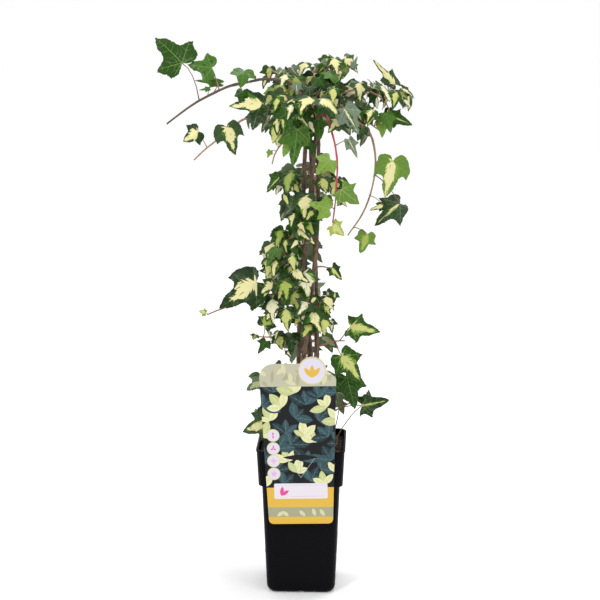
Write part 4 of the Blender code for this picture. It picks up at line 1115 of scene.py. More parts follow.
def leaf_probes(leaf, grow, owner):
    """The leaf's blade and its stalk, each as something to test against."""
    verts, faces = leaf_solid(leaf, grow)
    root_ring = range(len(verts) - STALK_VERTS, len(verts) - STALK_VERTS // 2)
    blade = [face for face in faces if not any(v in root_ring for v in face)]
    stalk = [face for face in faces if any(v in root_ring for v in face)]
    return as_placed((verts, blade), owner, "blade"), as_placed((verts, stalk), owner, "stalk")


def as_placed(shape, owner, kind):
    """A shape with its middle and reach, as something to test against."""
    verts, faces = shape
    used = [verts[v] for v in {v for face in faces for v in face}]
    centre = sum(used, Vector()) / len(used)
    reach = max((v - centre).length for v in used)
    return Placed(BVHTree.FromPolygons(verts, faces), centre, reach, owner, kind)


def is_clear(probe, placed, ignored):
    """True if a probe touches nothing placed, apart from its owner's pieces of the ignored kinds."""
    for other in placed:
        if other.owner in (probe.owner, "guard") and other.kind in ignored:
            continue
        if (other.centre - probe.centre).length > other.reach + probe.reach:
            continue
        if probe.tree.overlap(other.tree):
            return False
    return True


def oriented_leaf(root, base, tip, face, length, width):
    """A leaf whose tip points along tip and whose upper side looks along face as far as it can."""
    run = (base - root).normalized()
    along = tip.normalized()
    lag = along.dot(run)
    if lag < -BACKTRACK:
        along = (along - run * (lag + BACKTRACK)).normalized()
    up = (face - along * face.dot(along)).normalized()
    return Leaf(root, base, along.cross(up), along, up, length, width)


def common_leaf(mass, rng, root, twig_along, hand, size):
    """One seeded try at an ordinary leaf on a twig."""
    scatter = Vector([rng.uniform(-SCATTER, SCATTER) for _ in range(3)])
    facing = direction(mass.face, 0)
    side = twig_along.cross(Vector((0, 0, 1)))
    if side.length < UPRIGHT:
        side = facing.cross(Vector((0, 0, 1)))
    side = side.normalized() * hand
    stalk = side * STALK_SIDE + Vector((0, 0, STALK_UP)) + twig_along * STALK_ALONG + scatter
    length = size * rng.uniform(*SIZE_SHARE)
    base = root + stalk.normalized() * length * rng.uniform(*STALK_SHARE)
    scatter = Vector([rng.uniform(-SCATTER, SCATTER) for _ in range(3)])
    tip = facing * TIP_OUT + side * TIP_SIDE + Vector((0, 0, -TIP_DOWN)) + scatter
    scatter = Vector([rng.uniform(-FACE_SCATTER, FACE_SCATTER) for _ in range(3)])
    face = direction(mass.face, FACE_RISE) + scatter
    return oriented_leaf(root, base, tip, face, length, rng.uniform(*WIDTH_SHARE))


def feature_leaf(feature, twig):
    root, _ = along_twig(twig, feature.at)
    a = math.radians(feature.tip)
    tip = Vector((math.cos(a), -feature.lean, math.sin(a)))
    base = root + Vector(feature.stalk)
    return oriented_leaf(root, base, tip, Vector(FEATURE_FACE), feature.length, feature.width)


def along_twig(twig, share):
    """Point and direction at a share of a twig's length."""
    steps = len(twig.points) - 1
    place = min(share, LAST_SHARE) * steps
    low = int(place)
    step = twig.points[low + 1] - twig.points[low]
    return twig.points[low] + step * (place - low), step.normalized()


def keep_leaf(leaf, mass, middle, placed, kept):
    """Places a leaf if it stays in its mass's space and clear of everything, and says if it did."""
    for shift in (CLEARANCE, -CLEARANCE):
        moved = leaf._replace(root=leaf.root + leaf.up * shift, base=leaf.base + leaf.up * shift)
        blade, stalk = leaf_probes(moved, CLEARANCE, mass.name)
        if (blade.centre - middle).length + blade.reach / 2 > mass.space:
            return False
        if not is_clear(blade, placed, ()):
            return False
        if not is_clear(stalk, placed, ("twig", "stalk")):
            return False
    placed.extend(leaf_probes(leaf, 0.0, mass.name))
    kept.append(leaf)
    return True


def fat_twig(path, radii, owner, skip_first=False):
    """A twig with clearance all round, as something to test against, with or without its first stretch.

    A three-sided twig's flat sides stand at half its radius, so the radius grows twice as much.
    """
    verts, faces = tube(path, [r + 2 * CLEARANCE for r in radii], TWIG_SIDES)
    if skip_first:
        faces = faces[TWIG_SIDES:-2] + faces[-1:]
    return as_placed((verts, faces), owner, "twig")


def grow_main_twig(mass, limbs, trees, placed):
    """The mass's own stem, swung a little to each side until it is clear."""
    rng = random.Random(mass.seed)
    start, along, parent = start_on(
        mass.root, mass.height, mass.azimuth, mass.rise, TWIG_RADIUS, limbs, trees
    )
    radii = tapered(TWIG_RADIUS, TWIG_TIP_RADIUS, TWIG_RINGS)
    others = [item for item in placed if item.owner != parent]
    for attempt in range(TWIG_TRIES):
        swing = (attempt + 1) // 2 * TWIG_SWING * (-1) ** attempt
        heading = mass.azimuth + swing
        path = curved_path(
            start, heading, mass.turn, mass.rise, mass.fall, mass.length, TWIG_RINGS, rng, TWIG_WANDER
        )
        path = with_first_step(start, along, path)
        whole = fat_twig(path, radii, mass.name)
        rest = fat_twig(path, radii, mass.name, skip_first=True)
        if is_clear(whole, others, ()) and is_clear(rest, placed, ()):
            return Twig(path, radii)
    raise ValueError("no clear way for " + mass.name)


def side_twig(mass, root, heading, rise, length, radii, placed, rng):
    """A twig that leaves another at its side and bends down, or None if it isn't clear."""
    path = curved_path(root, heading, 0, rise, rise - SIDE_FALL, length, SIDE_RINGS, rng, TWIG_WANDER)
    if is_clear(fat_twig(path, radii, mass.name), placed, ("twig", "stalk")):
        return Twig(path, radii)
    return None


def grow_side_twigs(mass, main, placed, rng):
    """Side twigs to the left and right in turn, each left out if it finds no clear way."""
    radii = tapered(SIDE_TWIG_RADIUS, TWIG_TIP_RADIUS, SIDE_RINGS)
    twigs = []
    for k in range(mass.sides):
        root, ahead = along_twig(main, SIDE_FROM + SIDE_SPREAD * (k + rng.uniform(*SIDE_PLACE)) / mass.sides)
        heading = math.degrees(math.atan2(ahead.y, ahead.x))
        hand = 1 if (k + mass.seed) % 2 else -1
        for attempt in range(SIDE_TRIES):
            swing = hand * rng.uniform(*SIDE_TURN)
            rise = rng.uniform(*SIDE_RISE) if k % 2 == 0 else rng.uniform(*SIDE_SINK)
            length = mass.length * rng.uniform(*SIDE_LENGTH)
            twig = side_twig(mass, root, heading + swing, rise, length, radii, placed, rng)
            if twig:
                placed.append(as_placed(tube(*twig, TWIG_SIDES), mass.name, "twig"))
                twigs.append(twig)
                break
    return twigs


def grow_leaves(mass, twig, first, middle, placed, rng):
    """Ordinary leaves along one twig, smaller towards its tip, to the left and right in turn."""
    leaves = []
    length = sum((b - a).length for a, b in zip(twig.points, twig.points[1:]))
    count = max(1, round(length * LEAFY_SHARE / mass.gap))
    for k in range(count + 1):
        at = first + (LAST_LEAF - first) * k / count
        root, ahead = along_twig(twig, at)
        size = mass.leaf * (1 - TIP_SIZE_LOSS * at * at)
        for attempt in range(LEAF_TRIES):
            hand = 1 if (k + attempt) % 2 else -1
            smaller = size * (1 - TRY_SHRINK * attempt)
            leaf = common_leaf(mass, rng, root, ahead, hand, smaller)
            if keep_leaf(leaf, mass, middle, placed, leaves):
                break
    return leaves


def grow_features(mass, main, placed):
    """The mass's single leaves."""
    middle, _ = along_twig(main, 0.5)
    features = []
    for feature in FEATURES.get(mass.name, ()):
        keep_leaf(feature_leaf(feature, main), mass, middle, placed, features)
    return features


def fill_mass(mass, growth, placed):
    """Adds a mass's side twigs and ordinary leaves. With a gap of 0 it has only its single leaves."""
    rng = random.Random(mass.seed)
    main = growth.twigs[0]
    middle, _ = along_twig(main, 0.5)
    growth.twigs.extend(grow_side_twigs(mass, main, placed, rng))
    if not mass.gap:
        return
    for twig in growth.twigs:
        first = FIRST_LEAF if twig is main else FIRST_SIDE_LEAF
        growth.leaves.extend(grow_leaves(mass, twig, first, middle, placed, rng))


def guard_shapes():
    """Plain boxes that keep leaves off the pot and the card."""
    half = RIM_WIDTH / 2 + LIP_OUT
    edge = CARD_TOP_WIDTH / 2 + CARD_MARGIN
    back = card_back()
    pot = box_shape((-half, -half, 0.0), (half, half, POT_HEIGHT + POT_MARGIN))
    card = box_shape(
        (CARD_MIDDLE_X - edge, back - CARD_THICK, CARD_FOOT),
        (CARD_MIDDLE_X + edge, back, TAB_Z + TAB_RADIUS),
    )
    return pot, card


def grow_plant():
    """Limbs by name, and the growth of each mass by name."""
    limbs = {}
    trees = {}
    placed = [as_placed(shape, "guard", "guard") for shape in guard_shapes()]
    for stem in STEMS:
        limbs[stem.name] = stem_limb(stem)
        shape = tube(*limbs[stem.name], STEM_SIDES, Vector((0, 0, 1)))
        placed.append(as_placed(shape, stem.name, "limb"))
        trees[stem.name] = placed[-1].tree
    for bough in BOUGHS:
        limbs[bough.name] = bough_limb(bough, limbs, trees)
        shape = tube(*limbs[bough.name], BOUGH_SIDES)
        placed.append(as_placed(shape, bough.name, "limb"))
        trees[bough.name] = placed[-1].tree
    grown = {}
    for mass in MASSES:
        main = grow_main_twig(mass, limbs, trees, placed)
        placed.append(as_placed(tube(*main, TWIG_SIDES), mass.name, "twig"))
        grown[mass.name] = Growth([main], [], [])
    for mass in MASSES:
        growth = grown[mass.name]
        growth.features.extend(grow_features(mass, growth.twigs[0], placed))
    for mass in MASSES:
        fill_mass(mass, grown[mass.name], placed)
    return limbs, grown, placed


def square_ring(width, z, radius):
    """Points of a square with rounded corners, anticlockwise from above."""
    points = []
    centre = width / 2 - radius
    for corner in range(4):
        turn = math.radians(90 * corner)
        across = Vector((math.cos(turn), math.sin(turn), 0))
        back = Vector((-math.sin(turn), math.cos(turn), 0))
        for along, aside in arc(centre, centre, radius, 0, 90, CORNER_STEPS):
            points.append(across * along + back * aside + Vector((0, 0, z)))
    return points


def grow_finer(mass, growth, placed):
    """Fine twigs with small leaves in the free room between what the solids show."""
    rng = random.Random(mass.seed + FINE_SEED)
    main = growth.twigs[0]
    middle, _ = along_twig(main, 0.5)
    radii = tapered(FINE_RADIUS, FINE_TIP_RADIUS, SIDE_RINGS)
    fine = []
    for k in range(FINE_TWIGS * len(growth.twigs)):
        parent = growth.twigs[k % len(growth.twigs)]
        root, ahead = along_twig(parent, rng.uniform(*FINE_PLACE))
        heading = math.degrees(math.atan2(ahead.y, ahead.x)) + rng.uniform(-FINE_TURN, FINE_TURN)
        rise = rng.uniform(*FINE_RISE)
        length = rng.uniform(*FINE_LENGTH)
        twig = side_twig(mass, root, heading, rise, length, radii, placed, rng)
        if not twig:
            continue
        leaves = []
        count = round(length / FINE_GAP) + 1
        for j in range(count):
            spot, along = along_twig(twig, (j + 1) / count)
            for attempt in range(SIDE_TRIES):
                hand = 1 if (j + attempt) % 2 else -1
                leaf = common_leaf(mass, rng, spot, along, hand, rng.uniform(*FINE_LEAF))
                if keep_leaf(leaf, mass, middle, placed, leaves):
                    break
        if leaves:
            placed.append(as_placed(tube(*twig, TWIG_SIDES), mass.name, "twig"))
            fine.append(twig)
            growth.leaves.extend(leaves)
    return fine


def smooth_run(points, steps):
    """Evenly curved line through points, with steps stretches between each two."""
    ends = [points[0] * 2 - points[1]] + list(points) + [points[-1] * 2 - points[-2]]
    line = []
    for a, b, c, d in zip(ends, ends[1:], ends[2:], ends[3:]):
        bend = a * 2 - b * 5 + c * 4 - d
        swing = b * 3 - a - c * 3 + d
        for k in range(steps):
            t = k / steps
            line.append(b + (c - a) * (t / 2) + bend * (t * t / 2) + swing * (t ** 3 / 2))
    return line + [points[-1]]


def half_outline(rows, steps, rng):
    """Half of a leaf's outline from the notch to the tip, each a little different."""
    points = []
    for x, y, _ in rows:
        out = x * rng.uniform(*OUTLINE_SWELL)
        shift = rng.uniform(-OUTLINE_SHIFT, OUTLINE_SHIFT)
        points.append(Vector((out, y + shift if x > 0 else y)))
    line = []
    start = 0
    for k in range(1, len(rows)):
        if rows[k][2]:
            line += smooth_run(points[start:k + 1], steps)[:-1]
            start = k
    for point in line[1:]:
        point.x += rng.uniform(-RIM_WAVER, RIM_WAVER)
        point.y += rng.uniform(-RIM_WAVER, RIM_WAVER)
    return line + [points[-1]]


def half_width(half, y):
    """Reach of half an outline to the side at a height."""
    width = LEAST_HALF_WIDTH
    for a, b in zip(half, half[1:]):
        if (a.y - y) * (b.y - y) <= 0 and a.y != b.y:
            width = max(width, a.x + (b.x - a.x) * (y - a.y) / (b.y - a.y))
    return width


def ragged_edge(half, share, low, high, teeth, rng):
    """One edge of a blotch: uneven fingers that point towards the leaf's tip."""
    edge = []
    swell = [rng.uniform(*BLOTCH_SWELL) for _ in range(SWELLS)]
    step = (high - low) / teeth
    for k in range(teeth):
        y = low + step * (k + rng.uniform(*TOOTH_PLACE))
        place = (y - low) / (high - low) * SWELL_STRETCHES
        here = int(place)
        bulge = swell[here] + (swell[here + 1] - swell[here]) * (place - here)
        out = half_width(half, y) * min(share * bulge, WIDEST_BLOTCH)
        finger = min(rng.uniform(*FINGER), step * LONGEST_FINGER)
        edge.append(Vector((out * rng.uniform(*FINGER_TIP), y + finger)))
        edge.append(Vector((out * rng.choice(FINGER_DEPTHS), y + finger * FINGER_SWEEP)))
    return edge


def mirrored(points):
    return [Vector((-p.x, p.y)) for p in reversed(points)]


def blotch_shape(halves, right, left, low, high, teeth, rng):
    """Outline of a blotch that is ragged on both sides."""
    shape = [Vector((BLOTCH_FOOT, low))]
    shape += ragged_edge(halves[0], right, low, high, teeth, rng)
    shape.append(Vector((0.0, high)))
    shape += mirrored(ragged_edge(halves[1], left, low, high, teeth, rng))
    shape.append(Vector((-BLOTCH_FOOT, low)))
    return shape


def vein_shape(start, end, width, bend=0.0):
    """A tapering line from start to end, bowed aside by a share of its length."""
    run = end - start
    side = Vector((-run.y, run.x)).normalized() * (width / 2)
    middle = (start + end) / 2 + Vector((-run.y, run.x)) * bend
    left = [start + side, middle + side * VEIN_MIDDLE, end + side * VEIN_TIP]
    right = [start - side, middle - side * VEIN_MIDDLE, end - side * VEIN_TIP]
    return right + left[::-1]


def vein_shapes(detail, rng):
    """Main veins to the lobes, and the side veins that leave them."""
    shapes = []
    for x, y in VEIN_ENDS:
        end = Vector((x, y))
        shapes.append(vein_shape(Vector((0.0, 0.0)), end, VEIN_WIDTH))
        count = round(end.length * SIDE_VEINS[detail])
        for k in range(count):
            for hand in (1, -1):
                place = k + rng.uniform(*SIDE_VEIN_PLACE)
                spot = end * (place / (count + SIDE_VEIN_PLACE[0]))
                reach = SIDE_VEIN_REACH * end.length * (1 - 0.5 * k / count) * rng.uniform(*VEIN_SCATTER)
                way = Matrix.Rotation(hand * SIDE_VEIN_TURN, 2) @ end.normalized()
                bend = hand * SIDE_VEIN_BEND * rng.uniform(*VEIN_SCATTER)
                shapes.append(vein_shape(spot, spot + way * reach, SIDE_VEIN_WIDTH, bend))
    return shapes


def patch_shapes(halves, detail, rng):
    """Uneven patches of a second green between the veins; on dark, deep and grey leaves this is slate, a
    green with a painted sheen.
    """
    shapes = []
    for _ in range(PATCHES[detail]):
        y = rng.uniform(*PATCH_HEIGHT)
        x = rng.choice((-1, 1)) * half_width(halves[0], y) * rng.uniform(*PATCH_PLACE)
        size = rng.uniform(*PATCH_SIZE)
        shape = []
        for k in range(PATCH_CORNERS):
            turn = 2 * math.pi * k / PATCH_CORNERS
            reach = size * rng.uniform(*PATCH_CORNER)
            shape.append(Vector((x + PATCH_WIDTH * reach * math.cos(turn), y + reach * math.sin(turn))))
        shapes.append(shape)
    return shapes


def blotch_shapes(halves, blotch, detail, rng):
    """A blotch's half tone, its pale middle, rays into the lobes and flecks of green."""
    right, left, low, high = blotch
    teeth = BLOTCH_TEETH[detail]
    middle = (blotch_shape(halves, right, left, low, high, teeth, rng), CENTRE)
    if not detail:
        return [middle]
    ring = (right + RING_SHARE, left + RING_SHARE, low, min(high + RING_REACH, HIGHEST_RING))
    shapes = [(blotch_shape(halves, *ring, teeth + 1, rng), RING), middle]
    for end in VEIN_ENDS[1:]:
        if rng.random() < RAY_CHANCE:
            tip = Vector(end) * rng.uniform(*RAY_LENGTH) * min(1.0, right + left)
            shapes.append((vein_shape(Vector((0.0, RAY_FOOT)), tip, RAY_WIDTH), CENTRE))
    x = rng.uniform(-SLIVER_SHIFT, SLIVER_SHIFT)
    start = Vector((x, high - SLIVER_SHIFT))
    end = start + Vector((-x, rng.uniform(*SLIVER_LENGTH)))
    shapes.append((vein_shape(start, end, FLECK_WIDTH), CENTRE))
    for _ in range(FLECKS[detail]):
        y = rng.uniform(low + FLECK_MARGIN, high - FLECK_MARGIN)
        x = half_width(halves[0], y) * rng.uniform(-left, right) * FLECK_PLACE
        start = Vector((x, y))
        end = start + Vector((x * FLECK_LEAN, 1.0)).normalized() * rng.uniform(*FLECK_LENGTH)
        shapes.append((vein_shape(start, end, FLECK_WIDTH), RING))
    return shapes


def cut_apart(outlines, extra):
    """Triangles between all outlines and extra points: points, triangles and each triangle's outlines."""
    points = []
    faces = []
    for outline in outlines:
        faces.append(list(range(len(points), len(points) + len(outline))))
        points += outline
    spots, _, triangles, _, _, owners = delaunay_2d_cdt(points + extra, [], faces, 1, CUT_EPSILON)
    return spots, triangles, owners


def grid_points(grid):
    """Rows of points in turn, which give a leaf's surface room to bend."""
    points = []
    across = math.ceil(GRID_SIDE / grid)
    for i in range(-across, across + 1):
        for j in range(-math.ceil(GRID_LOW / grid), math.ceil(1.0 / grid)):
            points.append(Vector((grid * (i + 0.5 * (j % 2)), j * grid)))
    return points


def leaf_pattern(rows, blotch, detail, rng):
    """Flat leaf cut into coloured triangles: points, triangles and the region of each triangle."""
    halves = [half_outline(rows, OUTLINE_STEPS[detail], rng) for _ in range(2)]
    outline = halves[0] + mirrored(halves[1])[1:-1]
    shapes = [(outline, MARGIN)]
    if detail:
        shapes += [(shape, PATCH) for shape in patch_shapes(halves, detail, rng)]
        shapes += [(shape, VEIN) for shape in vein_shapes(detail, rng)]
    if blotch:
        shapes += blotch_shapes(halves, blotch, detail, rng)
    grid = grid_points(GRID[detail]) if detail else []
    spots, pieces, owners = cut_apart([shape for shape, _ in shapes], grid)
    triangles = []
    regions = []
    for triangle, inside in zip(pieces, owners):
        if 0 in inside:
            triangles.append(triangle)
            regions.append(shapes[max(inside)][1])
    used = sorted({v for triangle in triangles for v in triangle})
    place = {v: k for k, v in enumerate(used)}
    flat = np.array([tuple(spots[v]) for v in used])
    return flat, np.array([[place[v] for v in t] for t in triangles]), np.array(regions)


def leaf_patterns():
    """Every outline with every blotch, in a few seeded variants each."""
    patterns = {}
    for detail in (SMALL, MIDDLING, LARGE):
        for shape, rows in enumerate(OUTLINES):
            for name, blotch in BLOTCHES.items():
                for variant in range(OUTLINE_VARIANTS):
                    rng = random.Random("%d %d %s %d" % (detail, shape, name, variant))
                    patterns[detail, shape, name, variant] = leaf_pattern(rows, blotch, detail, rng)
    return patterns


def leaf_surface(flat, leaf, curls, rng):
    """The flat leaf bent as it grew: drooped, folded, quilted between its veins and waved at its rim."""
    x = flat[:, 0] * leaf.width
    y = flat[:, 1]
    reach = np.hypot(x, y)
    turn = np.arctan2(np.abs(x), y)
    between = np.abs(turn[:, None] - np.array(VEIN_TURNS)[None, :]).min(axis=1)
    curl = rng.uniform(*curls) * (1.0 + CURL_OF_SMALL * max(0.0, 1.0 - leaf.length / LARGE_LEAF))
    lift = -curl * rng.uniform(*DROOPS) * y * y - curl * rng.uniform(*FOLDS) * np.abs(x)
    lift += rng.uniform(*BULGES) * np.minimum(between, BULGE_TURN) * reach
    wave = rng.uniform(*WAVES) * reach ** 2
    lift += wave * np.sin(rng.uniform(*WAVE_COUNTS) * turn * np.sign(x) + rng.uniform(*WAVE_STARTS))
    quilt = QUILT * np.sin(QUILT_ALONG * y + QUILT_ACROSS * np.abs(x))
    lift += quilt * np.sin(np.minimum(between * QUILT_TURN, math.pi)) * reach
    lift += curl * rng.uniform(-TWIST, TWIST) * x * y
    side = x + rng.uniform(-SWAY, SWAY) * y * y
    base, across, along, up = (np.array(v) for v in (leaf.base, leaf.across, leaf.along, leaf.up))
    return base + (side[:, None] * across + y[:, None] * along + lift[:, None] * up) * leaf.length, up


class Batch:
    """Shapes gathered into one joined piece."""

    def __init__(self):
        self.verts = []
        self.faces = []
        self.slots = []
        self.smooth = []

    def add(self, shape, slots, smooth=True):
        """Adds a shape, all of it in one slot or each face in its own."""
        verts, faces = shape
        start = len(self.verts)
        self.verts += [tuple(v) for v in verts]
        self.faces += [tuple(start + v for v in face) for face in faces]
        self.slots += [slots] * len(faces) if isinstance(slots, int) else list(slots)
        self.smooth += [smooth] * len(faces)

    def build(self, name, materials, nodes):
        """Makes the piece, which is shown in place of the named solids."""
        mesh = bpy.data.meshes.new(name)
        mesh.from_pydata(self.verts, [], self.faces)
        for material in materials:
            mesh.materials.append(material)
        mesh.polygons.foreach_set("material_index", self.slots)
        mesh.polygons.foreach_set("use_smooth", self.smooth)
        mesh.update()
        piece = bpy.data.objects.new(name, mesh)
        bpy.context.scene.collection.objects.link(piece)
        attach(piece, "root")
        if nodes:
            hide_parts(*nodes)
        return piece


def surface_look(name, colour, finish):
    """Plain colour with a seeded grain in its roughness and relief."""
    material = bpy.data.materials.new(name)
    material.use_nodes = True
    nodes = material.node_tree.nodes
    links = material.node_tree.links
    shader = nodes["Principled BSDF"]
    shader.inputs["Base Color"].default_value = (*colour, 1.0)
    shader.inputs["Specular IOR Level"].default_value = finish.shine
    place = nodes.new("ShaderNodeTexCoord")
    grains = nodes.new("ShaderNodeTexNoise")
    grains.inputs["Scale"].default_value = finish.grain
    grains.inputs["Detail"].default_value = GRAIN_DETAIL
    links.new(place.outputs["Object"], grains.inputs["Vector"])
    rough = nodes.new("ShaderNodeMapRange")
    rough.inputs["To Min"].default_value = finish.roughness - finish.spread
    rough.inputs["To Max"].default_value = finish.roughness + finish.spread
    links.new(grains.outputs["Fac"], rough.inputs["Value"])
    links.new(rough.outputs["Result"], shader.inputs["Roughness"])
    relief = nodes.new("ShaderNodeBump")
    relief.inputs["Strength"].default_value = RELIEF_STRENGTH
    relief.inputs["Distance"].default_value = finish.depth
    links.new(grains.outputs["Fac"], relief.inputs["Height"])
    links.new(relief.outputs["Normal"], shader.inputs["Normal"])
    return material


def surface_looks(kind, colours, finish):
    """A material for each named colour, all with one finish."""
    return [surface_look(kind + "_" + name, colour, finish) for name, colour in colours.items()]


def add_leaf(batch, leaf, look_name, outline, curls, patterns, rng):
    """Both sides of a leaf, coloured by a look."""
    look = LOOKS[look_name]
    blotch = rng.choice(look.blotches.split())
    detail = SMALL if leaf.length < SMALL_LEAF else LARGE if leaf.length > LARGE_LEAF else MIDDLING
    key = (detail, outline, blotch, rng.randrange(OUTLINE_VARIANTS))
    flat, triangles, regions = patterns[key]
    top, up = leaf_surface(flat, leaf, curls, rng)
    names = [rng.choice(colours.split()) for colours in look[1:]]
    names.append(PATCH_COLOURS[names[MARGIN]])
    upper = np.array([LEAF_ORDER.index(n) for n in names])
    lower = np.array([LEAF_ORDER.index("under_pale" if n in PALE else "under") for n in names])
    batch.add((top.tolist(), triangles.tolist()), upper[regions].tolist())
    under = top - up * UNDER_OFFSET
    batch.add((under.tolist(), triangles[:, ::-1].tolist()), lower[regions].tolist())


def stalk_tube(leaf, rng):
    """A leaf's stalk, bowed a little, from the twig to the blade."""
    span = leaf.base - leaf.root
    bow = Vector((0, 0, 1)) * span.length * rng.uniform(*STALK_BOW)
    bow += leaf.across * span.length * rng.uniform(-STALK_SWAY, STALK_SWAY)
    last = len(STALK_RADII) - 1
    shares = [k / last for k in range(last + 1)]
    points = [leaf.root + span * t + bow * (4 * t * (1 - t)) for t in shares]
    thick = THINNEST_STALK + (1 - THINNEST_STALK) * min(1.0, leaf.length / LARGE_LEAF)
    return tube(points, [r * thick for r in STALK_RADII], STALK_ROUND)


def thick_line(twig, steps, scale=1.0):
    """A twig's path and radii with more and rounder steps."""
    points = smooth_run(twig.points, steps)
    last = len(points) - 1
    spread = len(twig.radii) - 1
    radii = []
    for k in range(len(points)):
        place = k / last * spread
        low = min(int(place), spread - 1)
        radii.append(scale * (twig.radii[low] + (twig.radii[low + 1] - twig.radii[low]) * (place - low)))
    return points, radii


def bark_tube(points, radii, sides, seed):
    """Round limb with long furrows and a knot now and then, and which of its faces lie in a furrow."""
    verts, faces = tube(points, radii, sides, points[1] - points[0])
    run = [0.0]
    for a, b in zip(points, points[1:]):
        run.append(run[-1] + (b - a).length)
    shifts = []
    for k, vert in enumerate(verts):
        ring, step = divmod(k, sides)
        turn = 2 * math.pi * step / sides
        across = Vector((math.cos(turn), math.sin(turn), 0)) * BARK_ROUND
        shift = noise.fractal(across + Vector((0, 0, run[ring] * BARK_ALONG + seed)), *BARK_NOISE)
        knot = max(0.0, math.sin(run[ring] * 2 * math.pi / KNOT_GAP + seed)) ** KNOT_SHARPNESS
        shifts.append(shift)
        verts[k] = points[ring] + (vert - points[ring]) * (1 + BARK_DEPTH * shift + KNOT_HEIGHT * knot)
    furrowed = [sum(shifts[v] for v in face) / len(face) < BARK_SPLIT for face in faces]
    return (verts, faces), furrowed


def add_bark(batch, line, sides, look, seed):
    """A limb in its look's colour, with a darker shade in the furrows of its bark."""
    slot = SHOOT_ORDER.index(look)
    shape, furrowed = bark_tube(*line, sides, seed)
    batch.add(shape, [SHOOT_SHADES[slot] if f else slot for f in furrowed])


def root_hairs(batch, limb, rng):
    """Short clinging roots along a climbing stem."""
    slot = SHOOT_ORDER.index("hair")
    for _ in range(HAIR_TUFTS):
        share = rng.uniform(*HAIR_PLACE)
        spot, along = along_twig(limb, share)
        radius = limb.radii[int(share * (len(limb.radii) - 1))]
        azimuth = rng.uniform(0, 360)
        for _ in range(rng.randint(*HAIR_COUNT)):
            out = direction(azimuth + rng.uniform(-HAIR_SWING, HAIR_SWING), rng.uniform(*HAIR_RISE))
            start = spot + along * rng.uniform(-HAIR_SPREAD, HAIR_SPREAD) + out * radius * HAIR_SEAT
            length = rng.uniform(*HAIR_LENGTH)
            end = start + out * length + Vector((0, 0, -length * rng.uniform(*HAIR_DROOP)))
            batch.add(tube([start, start + out * length * HAIR_BEND, end], HAIR_RADII, HAIR_ROUND), slot)


def soil_shoots(grown, rng):
    """Thin stalks from the soil to two low leaves, and a bare shoot that arches over the soil."""
    foot = Vector(SOIL_SHOOT_FOOT)
    rise = Vector((0, 0, SOIL_SHOOT_RISE))
    paths = []
    for leaf in grown["base_right"].features:
        paths.append([foot] + [foot.lerp(leaf.base, t) + rise for t in SOIL_SHOOT_BENDS] + [leaf.base])
    paths.append([foot + Vector(step) for step in SOIL_SHOOT_ARCH])
    shapes = []
    for path in paths:
        line = smooth_run(path, SOIL_SHOOT_STEPS)
        for point in line[1:-1]:
            point += Vector((rng.uniform(-1, 1), 0, 1)) * SOIL_SHOOT_WAVER
        shapes.append(tube(line, tapered(*SOIL_SHOOT_RADII, len(line)), STALK_ROUND))
    return shapes


def make_limbs(limbs, materials):
    """The climbing stems with their root hairs, and the boughs."""
    stems = Batch()
    rng = random.Random(HAIR_SEED)
    for k, stem in enumerate(STEMS):
        limb = limbs[stem.name]
        seed = BARK_SEED_STEP * k + STEM_BARK_SEED
        add_bark(stems, thick_line(limb, STEM_STEPS), STEM_ROUND, "bark", seed)
        root_hairs(stems, limb, rng)
    stems.build("climbing_stems", materials, [stem.name for stem in STEMS])
    boughs = Batch()
    for k, bough in enumerate(BOUGHS):
        look = BOUGH_LOOKS.get(bough.name, "salmon")
        seed = BARK_SEED_STEP * k + BOUGH_BARK_SEED
        add_bark(boughs, thick_line(limbs[bough.name], BOUGH_STEPS), BOUGH_ROUND, look, seed)
    boughs.build("boughs", materials, [bough.name for bough in BOUGHS])


def pick(rng, weighted):
    """One of the names, by their weights."""
    names = [name for name, _ in weighted]
    return rng.choices(names, [weight for _, weight in weighted])[0]


def group_of(mass):
    """The joined piece that a mass's leaves and twigs go to."""
    group, side = mass.name.split("_")[:2]
    return group + "_back" if side == "back" and group != "base" else group


